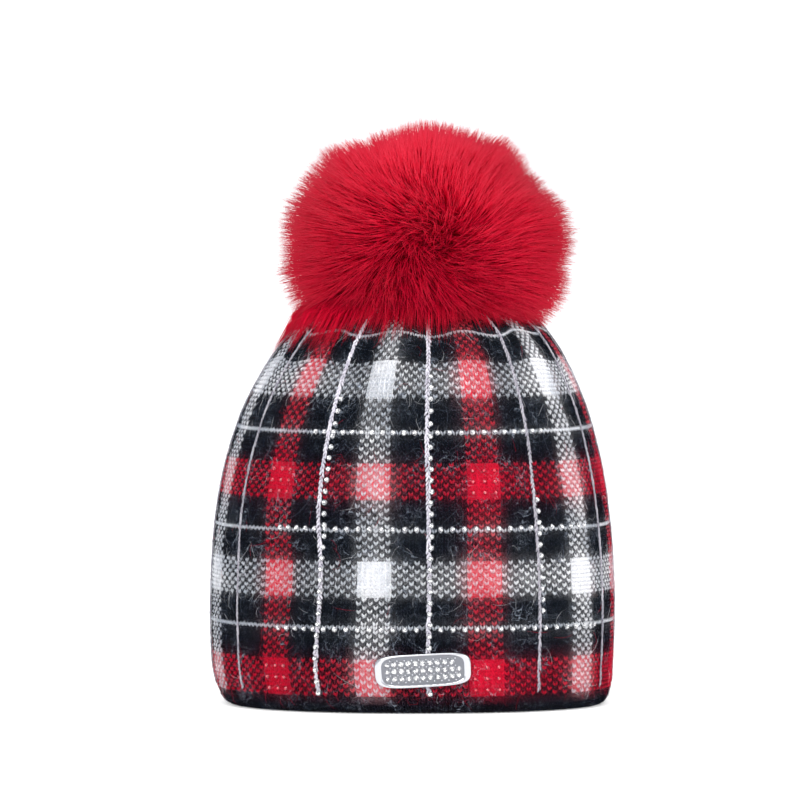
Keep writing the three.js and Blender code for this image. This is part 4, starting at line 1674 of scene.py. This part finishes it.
@dataclass
class CrystalTrim:
    """Small flat-backed stones glued to the front along the lines, and in the red checks."""

    chart: TartanChart
    finishes: Finishes
    rng: np.random.Generator
    radius: float = 1.3 * MM
    red_radius: float = 0.95 * MM
    spacing: float = 4.95 * MM

    def level_rows(self) -> np.ndarray:
        """Column, row and outward distance of the stones on the level lines."""
        spots = []
        for row, first, last, above in ((70, -22, 22, 0.15), (46, -28, 30, 0.55), (22, -28, 32, -0.25)):
            for column in np.arange(first, last + 0.1, 2):
                if np.mod(round(column), 19) != 0:
                    spots.append((column, row + above, 0.35 * MM))
        return np.array(spots)

    def upright_lines(self) -> np.ndarray:
        """Column, row and outward distance of the stones beside the upright lines."""
        spots = []
        pitch = self.spacing / (1.82 * MM)
        for cord, low_side, high_side, first, last in (
            (0, 0.12, 0.45, 6.6, 84),
            (-19, 0.1, 0.95, 6.6, 80),
            (19, 0.3, 0.3, 26, 54),
        ):
            for row in np.arange(first, last, pitch):
                side = low_side + (high_side - low_side) * float(smoothstep(np.array(row), 34, 48))
                at = np.array([float(cord)]), np.array([row])
                follow = float((self.chart.cord_shift(*at) - self.chart.pull(*at))[0])
                column = cord + side + follow + self.rng.normal(0, 0.05)
                spots.append((column, row, (1.8 - 1.3 * side) * MM))
        return np.array(spots)

    def red_grids(self) -> np.ndarray:
        """Column, row and outward distance of the red stones in the red checks."""
        spots = []
        for column, row in ((9.5, 58), (9.5, 10), (-28.5, 10), (-28.5, 58)):
            for across in (-2, 0, 2):
                for up in (-2.7, 0, 2.7):
                    spots.append((column + across, row + up, 0.45 * MM))
        return np.array(spots)

    def scatter(self, name: str, spots: np.ndarray, radius: float, material: bpy.types.Material) -> bpy.types.Object:
        """Places a stone at each spot.

        Args:
            name: The piece's name.
            spots: Column, row and outward distance of each stone.
            radius: The stones' radius.
            material: Their material.

        Returns:
            The joined piece.
        """
        shape = stone_shape(8, 0.52, 0.62)
        turn, up, out = self.chart.frame_at(spots[:, 0], spots[:, 1])
        tip = self.rng.normal(0, 0.09, (len(spots), 2, 1))
        out = unit(out + tip[:, 0] * turn + tip[:, 1] * up)
        spin = self.rng.uniform(0, math.pi, (len(spots), 1))
        first = unit(np.cos(spin) * turn + np.sin(spin) * up)
        first = unit(first - out * np.sum(first * out, axis=1, keepdims=True))
        second = np.cross(out, first)
        base = self.chart.place(spots[:, 0], spots[:, 1], spots[:, 2])
        points = shape.points * radius
        placed = base[:, None] + (
            points[None, :, 0, None] * first[:, None]
            + points[None, :, 1, None] * second[:, None]
            + points[None, :, 2, None] * out[:, None]
        )
        made = copies_object(name, placed, shape, smooth=False)
        # Each facet's painted reflection brightness, for the stone material.
        point_attribute(made, "facet", painted_facet_reflections(shape, len(spots), self.rng), "FACE")
        return dress(made, material, Slot.CRYSTAL)

    def build(self) -> None:
        """Builds the clear stones and the red ones."""
        clear = np.concatenate([self.level_rows(), self.upright_lines()])
        self.scatter("crystals_clear", clear, self.radius, self.finishes.clear_stone)
        self.scatter("crystals_red", self.red_grids(), self.red_radius, self.finishes.red_stone)


# Badge


@dataclass
class Badge:
    """A plain rounded bar with a polished rim and rows of small set stones."""

    form: CrownForm
    finishes: Finishes
    rng: np.random.Generator
    length: float = 42 * MM
    height: float = 14.5 * MM
    corner_power: float = 4.5
    shift: float = 4.4 * MM
    centre_height: float = 19.5 * MM
    tilt: float = math.radians(3)
    field_level: float = 2.6 * MM
    rim: float = 0.6 * MM
    stone_radius: float = 1.45 * MM
    stone_pitch: float = 3.1 * MM
    stone_columns: int = 9
    stone_rows: int = 3
    points: int = 96

    def place(self, along: np.ndarray, above: np.ndarray, outward: object) -> np.ndarray:
        """Points at a length and height from the badge's middle, a distance out of the crown."""
        level = along * math.cos(self.tilt) - above * math.sin(self.tilt)
        height = self.centre_height + along * math.sin(self.tilt) + above * math.cos(self.tilt)
        return self.form.offset(self.shift + level, self.form.rise_at_height(height), 0.0, outward)

    def build_plate(self) -> bpy.types.Object:
        """The plate with its rim, made from a disc by insets and set on the crown."""
        bm = bmesh.new()
        bmesh.ops.create_circle(bm, cap_ends=True, segments=self.points, radius=1)
        floor = bm.faces[:]
        grown = bmesh.ops.extrude_face_region(bm, geom=floor)
        lid = [g for g in grown["geom"] if isinstance(g, bmesh.types.BMFace)][0]
        levels = {v: (1.0, 1.9 * MM) for v in lid.verts}
        for vert in bm.verts:
            levels.setdefault(vert, (1.0, PIECE_GAP))
        base = self.field_level
        steps = (
            (0.975, base + 0.35 * MM),
            (0.945, base + self.rim),
            (0.905, base + self.rim * 1.05),
            (0.87, base + self.rim * 0.8),
            (0.85, base + 0.1 * MM),
            (0.82, base),
            (0.55, base),
            (0.28, base),
        )
        for reach, level in steps:
            bmesh.ops.inset_individual(bm, faces=[lid], thickness=0.004, depth=0)
            for vert in lid.verts:
                levels[vert] = (reach, level)
        verts = list(bm.verts)
        reach = np.array([levels[v][0] for v in verts])
        level = np.array([levels[v][1] for v in verts])
        angle = np.array([math.atan2(v.co.y, v.co.x) for v in verts])
        power = self.corner_power
        radius = reach / 2 * (np.abs(np.cos(angle)) ** power + np.abs(np.sin(angle)) ** power) ** (-1 / power)
        along, above = radius * np.cos(angle) * self.length, radius * np.sin(angle) * self.height
        for vert, point in zip(verts, self.place(along, above, level)):
            vert.co = point
        bmesh.ops.recalc_face_normals(bm, faces=bm.faces[:])
        tray = {v for v in verts if levels[v][0] <= 0.85 and levels[v][1] < base + 0.15 * MM}
        for face in bm.faces:
            face.smooth = True
            face.material_index = int(all(v in tray for v in face.verts))
        mesh = bpy.data.meshes.new("badge_plate")
        bm.to_mesh(mesh)
        bm.free()
        plate = bpy.data.objects.new("badge_plate", mesh)
        bpy.context.scene.collection.objects.link(plate)
        mesh.materials.append(self.finishes.silver)
        mesh.materials.append(self.finishes.silver_dark)
        return dress(plate, self.finishes.silver, Slot.SILVER, "badge")

    def build_stones(self) -> bpy.types.Object:
        """The stones in their rows, each with small claws of metal round it."""
        shape = stone_shape(8, 0.55, 0.7)
        columns, rows = np.meshgrid(np.arange(self.stone_columns), np.arange(self.stone_rows))
        along = (columns.ravel() - (self.stone_columns - 1) / 2) * self.stone_pitch
        above = (rows.ravel() - (self.stone_rows - 1) / 2) * self.stone_pitch
        size = np.full(len(along), self.stone_radius)
        ends = (self.stone_columns + 1) / 2 * self.stone_pitch * 0.99
        for side in (-1, 1):
            along = np.append(along, [side * ends] * self.stone_rows)
            above = np.append(above, np.unique(above.round(6))[: self.stone_rows] * 0.92)
            size = np.append(size, [self.stone_radius * 0.85] * self.stone_rows)
        base = self.place(along, above, self.field_level - 0.1 * MM)
        right = unit(self.place(along + MM, above, self.field_level) - self.place(along - MM, above, self.field_level))
        up = unit(self.place(along, above + MM, self.field_level) - self.place(along, above - MM, self.field_level))
        out = unit(np.cross(right, up))
        up = np.cross(out, right)
        points = shape.points[None] * size[:, None, None]
        placed = base[:, None] + (
            points[..., 0, None] * right[:, None] + points[..., 1, None] * up[:, None] + points[..., 2, None] * out[:, None]
        )
        made = copies_object("badge_stones", placed, shape, smooth=False)
        # Each facet's painted reflection brightness, for the stone material.
        point_attribute(made, "facet", painted_facet_reflections(shape, len(along), self.rng), "FACE")
        dress(made, self.finishes.clear_stone, Slot.CRYSTAL)
        claws = []
        half = self.stone_pitch / 2
        for i in range(self.stone_columns + 1):
            for j in range(self.stone_rows + 1):
                a = (i - self.stone_columns / 2) * self.stone_pitch
                b = (j - self.stone_rows / 2) * self.stone_pitch
                if abs(a) < self.stone_columns * half + 1e-9:
                    claws.append((a, b))
        spots = np.array(claws)
        bead = bead_shape()
        middle = self.place(spots[:, 0], spots[:, 1], self.field_level + 0.2 * MM)
        beads = middle[:, None] + bead.points[None] * 0.5 * MM
        return dress(copies_object("badge_claws", beads, bead), self.finishes.silver, Slot.SILVER)

    def build(self) -> None:
        """Builds the badge."""
        self.build_plate()
        self.build_stones()


# Pompom


@dataclass
class Pompom:
    """A ball of long dyed fur, combed away from a parting at the front."""

    form: CrownForm
    finishes: Finishes
    rng: np.random.Generator
    centre: tuple[float, float, float] = (5.6 * MM, 0.0, 200 * MM)
    half_width: float = 65.6 * MM
    rise: float = 57.6 * MM
    drop: float = 66 * MM
    core_share: float = 0.7
    root_share: float = 0.56
    strands: int = 40000
    fringe: int = 3600
    clumps: int = 3400
    comb: float = 0.3
    swirl: float = 0.08
    parting: tuple[float, float, float] = (-0.02, -1.0, -0.15)
    dents: tuple[tuple[float, float, float, float, float], ...] = (
        (0.44, -0.1, 0.9, 0.12, 0.1),
        (0.86, -0.1, 0.5, 0.12, 0.1),
        (0.5, -0.55, 0.67, 0.06, 0.13),
        (-0.85, -0.1, -0.5, -0.09, 0.3),
        (-0.5, 0.4, 0.76, 0.05, 0.12),
        (0.3, 0.85, 0.35, 0.06, 0.14),
        (-0.7, 0.6, 0.1, 0.05, 0.13),
    )
    clipping: tuple[tuple[float, float], ...] = (
        (-90, 0.0),
        (-50, -0.05),
        (-40, -0.085),
        (-30, -0.04),
        (-20, 0.01),
        (-10, 0.02),
        (0, 0.045),
        (14, 0.058),
        (20, 0.025),
        (35, -0.03),
        (45, 0.0),
        (53, 0.048),
        (60, 0.005),
        (75, -0.025),
        (90, 0.0),
        (100, -0.03),
        (120, -0.05),
        (127, 0.01),
        (135, 0.055),
        (141, 0.025),
        (155, 0.025),
        (170, 0.018),
        (180, -0.01),
        (190, -0.015),
        (196, -0.06),
        (205, -0.1),
        (217, -0.08),
        (230, 0.0),
        (270, 0.0),
    )

    def outline_change(self, way: np.ndarray) -> np.ndarray:
        """How much longer or shorter than round the fur is clipped, by its direction seen from the front."""
        angle = np.degrees(np.arctan2(way[..., 2], way[..., 0]))
        angle = np.where(angle < -90, angle + 360, angle)
        places, changes = np.array(self.clipping).T
        return np.interp(angle, places, changes) * (1 - way[..., 1] ** 2)

    def reach(self, way: np.ndarray) -> np.ndarray:
        """How far the fur reaches from the middle along directions."""
        upright = np.where(way[..., 2] > 0, self.rise, self.drop)
        plain = 1 / np.sqrt(
            (way[..., 0] / self.half_width) ** 2 + (way[..., 1] / self.half_width) ** 2 + (way[..., 2] / upright) ** 2
        )
        plain = plain * (1 + 0.05 * smoothstep(-way[..., 2], 0.05, 0.5)) * (1 + self.outline_change(way))
        for x, y, z, depth, width in self.dents:
            dent = unit(np.array([x, y, z]))
            plain = plain * (1 - depth * np.exp(-((1 - way @ dent) * 2) / width**2 / 2))
        return plain

    def above_crown(self, points: np.ndarray, gap: object) -> np.ndarray:
        """The points, with those inside the crown lifted onto it."""
        ground = self.form.top_height(points[..., 0].ravel(), points[..., 1].ravel()).reshape(points.shape[:-1])
        lifted = points.copy()
        lifted[..., 2] = np.where(ground > 0, np.maximum(points[..., 2], ground + gap), points[..., 2])
        return lifted

    def build_core(self) -> bpy.types.Object:
        """The dense underfur, a closed ball that sits on the crown."""
        bm = bmesh.new()
        bmesh.ops.create_icosphere(bm, subdivisions=5, radius=1)
        ways = unit(np.array([v.co[:] for v in bm.verts]))
        bumps = 1 + 0.03 * np.sin(ways @ [23, 9, 4]) * np.sin(ways @ [-7, 19, 13])
        points = np.array(self.centre) + ways * (self.reach(ways) * self.core_share * bumps)[:, None]
        for vert, point in zip(bm.verts, self.above_crown(points, 1.0 * MM)):
            vert.co = point
        for face in bm.faces:
            face.smooth = True
        mesh = bpy.data.meshes.new("fur_core")
        bm.to_mesh(mesh)
        bm.free()
        core = bpy.data.objects.new("fur_core", mesh)
        bpy.context.scene.collection.objects.link(core)
        point_attribute(core, "along", np.full(len(points), 0.3))
        point_attribute(core, "tone_and_painted_light", np.full(len(points), 0.5))
        return dress(core, self.finishes.fur, Slot.FUR, "pompom")

    def combed(self, way: np.ndarray, clump: np.ndarray) -> np.ndarray:
        """The directions of strand tips, combed away from the parting and pulled into clumps.

        Args:
            way: The directions of the strands' roots.
            clump: The number of each strand's clump.

        Returns:
            The directions of the tips.
        """
        pole = unit(np.array(self.parting))
        lean = self.clump_ways + self.comb_of(self.clump_ways, pole)
        lean = unit(lean + self.rng.normal(0, 0.09, lean.shape))[clump]
        stray = np.where(self.rng.random((len(way), 1)) < 0.12, 0.17, 0.05)
        own = way + self.comb_of(way, pole) + self.rng.normal(0, 1, way.shape) * stray
        pull = self.rng.uniform(0.05, 0.42, (len(way), 1))
        return unit(unit(own) * (1 - pull) + lean * pull)

    def comb_of(self, way: np.ndarray, pole: np.ndarray) -> np.ndarray:
        """How far, and which way, a tip is combed from its root's direction."""
        bent = unit(way + 0.24 * np.sin(way[:, [1, 2, 0]] * 4.1 + way[:, [2, 0, 1]] * 5.3 + [0.4, 2.2, 4.0]))
        bent = unit(bent + 0.07 * np.sin(way[:, [2, 1, 0]] * 13.0 + way[:, [1, 0, 2]] * 9.0 + [1.4, 3.2, 0.3]))
        turn = np.arccos(np.clip(bent @ pole, -1, 1))
        away = unit(bent * np.cos(turn)[:, None] - pole)
        fade = 1 - 0.85 * smoothstep(turn, 1.5, 2.6)
        strength = self.comb * smoothstep(turn, 0.0, 0.95) * fade
        swirl = self.swirl * np.exp(-((turn / 0.6) ** 2))
        return away * strength[:, None] + np.cross(pole, away) * swirl[:, None] - np.array([0, 0, 0.04])

    def painted_fur_light(self, way: np.ndarray) -> np.ndarray:
        """Painted light and shade on strands by direction: painted top light pales the upper fur, painted rim light
        pales the edges, and painted shade darkens the fur round the parting.
        """
        pole = unit(np.array(self.parting))
        turn = np.arccos(np.clip(way @ pole, -1, 1))
        deep = np.exp(-((turn / 0.62) ** 2))
        return 0.28 + 0.38 * smoothstep(way[:, 2], -0.25, 0.95) + 0.22 * smoothstep(turn, 0.7, 1.6) - 0.2 * deep

    def nearest_clump(self, way: np.ndarray) -> np.ndarray:
        """The number of the clump that each direction is nearest to."""
        found = [np.argmax(part @ self.clump_ways.T, axis=1) for part in np.array_split(way, 40)]
        return np.concatenate(found)

    def build_fur(self) -> None:
        """The long strands, in three joined pieces, and the fringe that drapes over the crown."""
        rng = self.rng
        number = np.arange(self.strands) + 0.5
        z = 1 - 1.93 * number / self.strands
        turn = number * math.pi * (3 - math.sqrt(5)) + rng.normal(0, 0.01, self.strands)
        level = np.sqrt(1 - z * z)
        way = np.stack([level * np.cos(turn), level * np.sin(turn), z], axis=1)
        way = unit(way + rng.normal(0, 0.012, way.shape))
        count = np.arange(self.clumps) + 0.5
        height = 1 - 2 * count / self.clumps
        spin = count * 2.399963
        flat = np.sqrt(1 - height**2)
        self.clump_ways = unit(
            np.stack([flat * np.cos(spin), flat * np.sin(spin), height], axis=1) + rng.normal(0, 0.03, (self.clumps, 3))
        )
        clump = self.nearest_clump(way)
        clump_tone = rng.normal(0, 0.12, self.clumps)
        clump_size = rng.normal(1, 0.012, self.clumps)
        tip_way = self.combed(way, clump)
        share = 1.0 - 0.13 * rng.random(self.strands) ** 1.7
        guard = rng.random(self.strands) < 0.08
        share = np.where(guard, rng.uniform(0.99, 1.025, self.strands), share) * clump_size[clump]
        centre = np.array(self.centre)
        far = self.reach(tip_way) * share
        near = self.reach(way) * self.root_share
        middle_way = unit(way * 0.62 + tip_way * 0.38)
        middle = centre + middle_way * (near + (far - near) * 0.58)[:, None]
        paths = np.stack([centre + way * near[:, None], middle, centre + tip_way * far[:, None]], axis=1)
        gaps = np.stack([np.full(self.strands, 0.4), rng.uniform(0.8, 3.0, self.strands), rng.uniform(0.6, 2.2, self.strands)], axis=1)
        paths = self.above_crown(paths, gaps * MM)
        width = rng.uniform(0.8, 1.2, (self.strands, 1)) * np.where(guard, 0.75, 1.0)[:, None]
        radii = width * np.array([0.2, 0.18, 0.0]) * MM
        # Painted light and shade from the tip's direction, plus the clump's and the strand's own tone; guard hairs are
        # paler.
        tone_and_painted_light = self.painted_fur_light(tip_way) + clump_tone[clump] + rng.normal(0, 0.14, self.strands)
        tone_and_painted_light = np.clip(np.where(guard, tone_and_painted_light + 0.4, tone_and_painted_light), 0.02, 1)
        shape = strand_shape(2)
        part = np.arange(self.strands) % 3
        for index in range(3):
            held = part == index
            name = f"fur_strands_{index + 1}"
            made = strands_object(name, paths[held], radii[held], tip_way[held][:, [1, 2, 0]], shape)
            self.store(made, shape, tone_and_painted_light[held])
            dress(made, self.finishes.fur, Slot.FUR)
        self.build_fringe(shape)

    def store(self, made: bpy.types.Object, shape: Shape, tone_and_painted_light: np.ndarray) -> None:
        """Stores how far along its strand each point is, and each strand's tone with its painted light and shade."""
        along = shape.points[:, 2] / shape.points[:, 2].max()
        point_attribute(made, "along", np.tile(along, len(tone_and_painted_light)))
        point_attribute(made, "tone_and_painted_light", np.repeat(tone_and_painted_light, len(shape.points)))

    def build_fringe(self, shape: Shape) -> None:
        """The lowest hairs, which lie on the crown and point outwards and down."""
        rng, form = self.rng, self.form
        count = self.fringe
        length = rng.uniform(0, form.girth, count)
        tuft = np.round(length / (form.girth / 90)) * (form.girth / 90)
        tip_length = length + (tuft - length) * rng.uniform(0.1, 0.7, count) + rng.normal(0, 1.5 * MM, count)
        longer = 2.5 * MM * np.sin(tuft / form.girth * 2 * math.pi * 11) * np.sin(tuft / form.girth * 2 * math.pi * 4 + 1)
        side = np.sin(2 * math.pi * length / form.girth)
        tip_radius = (57.0 - 5.0 * side + rng.uniform(-11, 1.5, count)) * MM + longer
        rise_tip = np.array([form.rise_at_radius(r) for r in tip_radius])
        rise_root = np.full(count, form.rise_at_radius(30 * MM))
        rise_middle = rise_root + (rise_tip - rise_root) * 0.55
        root = form.offset(length, rise_root, 0.0, rng.uniform(3, 9, count) * MM)
        middle = form.offset((length + tip_length) / 2, rise_middle, 0.0, rng.uniform(2.5, 7.0, count) * MM)
        tip = form.offset(tip_length, rise_tip, 0.0, rng.uniform(0.6, 2.2, count) * MM)
        paths = np.stack([root, middle, tip], axis=1)
        radii = rng.uniform(0.8, 1.2, (count, 1)) * np.array([0.19, 0.16, 0.0]) * MM
        _, _, out = form.axes(tip_length, rise_tip)
        made = strands_object("fur_fringe", paths, radii, out, shape)
        self.store(made, shape, np.clip(rng.normal(0.35, 0.2, count), 0.02, 1))
        dress(made, self.finishes.fur, Slot.FUR)

    def build(self) -> None:
        """Builds the pompom."""
        self.build_core()
        self.build_fur()


# Studio


@dataclass(frozen=True)
class SoftLight:
    """A large soft lamp."""

    name: str
    place: tuple[float, float, float]
    size: float
    power: float

    def build(self, aim: Vector) -> None:
        """Sets the lamp and turns it to what it lights."""
        data = bpy.data.lights.new(self.name, "AREA")
        data.size = self.size
        data.energy = self.power
        lamp = bpy.data.objects.new(self.name, data)
        lamp.location = self.place
        lamp.rotation_euler = (aim - Vector(self.place)).to_track_quat("-Z", "Y").to_euler()
        bpy.context.scene.collection.objects.link(lamp)


@dataclass(frozen=True)
class Studio:
    """The camera, the lamps and the white floor."""

    aim: tuple[float, float, float] = (-0.0055, 0.0, 0.1328)
    distance: float = 9.0
    elevation: float = math.radians(2.3)
    view_width: float = 0.351
    sensor: float = 36.0
    ambient: float = 0.85
    lamps: tuple[SoftLight, ...] = (
        SoftLight("lamp_key", (-0.8, -2.0, 1.75), 1.3, 31.5),
        SoftLight("lamp_fill", (1.7, -1.5, 0.8), 1.4, 13.0),
        SoftLight("lamp_top", (0.0, -0.6, 1.9), 1.2, 17.0),
    )

    def build_camera(self) -> None:
        """The camera, at the photograph's angle."""
        data = bpy.data.cameras.new("camera")
        data.sensor_width = self.sensor
        data.lens = self.sensor * self.distance / self.view_width
        data.clip_end = 200
        camera = bpy.data.objects.new("camera", data)
        back = Vector((0, -math.cos(self.elevation), math.sin(self.elevation)))
        camera.location = Vector(self.aim) + back * self.distance
        camera.rotation_euler = (-back).to_track_quat("-Z", "Y").to_euler()
        bpy.context.scene.collection.objects.link(camera)
        bpy.context.scene.camera = camera

    def build_world(self) -> None:
        """White surroundings, dimmer as a light than as a backdrop."""
        world = bpy.data.worlds.new("studio")
        bpy.context.scene.world = world
        world.use_nodes = True
        graph = Graph(world.node_tree)
        background = world.node_tree.nodes["Background"]
        backdrop = graph.node("ShaderNodeBackground")
        path = graph.node("ShaderNodeLightPath")
        mix = graph.node("ShaderNodeMixShader")
        background.inputs["Color"].default_value = (0.97, 0.98, 1.0, 1)
        background.inputs["Strength"].default_value = self.ambient
        backdrop.inputs["Color"].default_value = (1, 1, 1, 1)
        backdrop.inputs["Strength"].default_value = 1.1
        graph.put(path.outputs["Is Camera Ray"], mix.inputs[0])
        graph.put(background.outputs[0], mix.inputs[1])
        graph.put(backdrop.outputs[0], mix.inputs[2])
        graph.put(mix.outputs[0], world.node_tree.nodes["World Output"].inputs["Surface"])

    def build_floor(self) -> None:
        """A wide white floor just under the hem."""
        bm = bmesh.new()
        bmesh.ops.create_circle(bm, cap_ends=True, segments=96, radius=60)
        mesh = bpy.data.meshes.new("floor")
        bm.to_mesh(mesh)
        bm.free()
        floor = bpy.data.objects.new("floor", mesh)
        floor.location.z = -0.0002
        bpy.context.scene.collection.objects.link(floor)
        surface = Surface("floor_white", 0.9)
        surface.shader.inputs["Base Color"].default_value = (0.86, 0.86, 0.86, 1)
        surface.shader.inputs["Specular IOR Level"].default_value = 0.0
        surface.shader.inputs["Emission Color"].default_value = (1, 1, 1, 1)
        surface.shader.inputs["Emission Strength"].default_value = 0.5
        mesh.materials.append(surface.material)

    def build(self) -> None:
        """Builds the studio, with colours shown as they are."""
        bpy.context.scene.view_settings.view_transform = "Standard"
        self.build_camera()
        self.build_world()
        self.build_floor()
        for lamp in self.lamps:
            lamp.build(Vector((0, 0, 0.13)))


def main() -> None:
    """Builds the studio and every piece of the hat."""
    logging.basicConfig(level=logging.INFO, format="%(name)s: %(message)s")
    Studio().build()
    finishes = Finishes(Groups())
    form = CrownForm()
    chart = TartanChart(form)
    KnitBody(chart, finishes, np.random.default_rng(7)).build()
    OvercheckCords(chart, finishes, np.random.default_rng(11)).build()
    CrystalTrim(chart, finishes, np.random.default_rng(13)).build()
    Badge(form, finishes, np.random.default_rng(17)).build()
    Pompom(form, finishes, np.random.default_rng(19)).build()
    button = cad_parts["pompom_button"]
    button.material_slots[0].material = finishes.plastic
    LOG.info("pompom_button: dressed")
    bpy.context.view_layer.update()


if __name__ == "__main__":
    main()
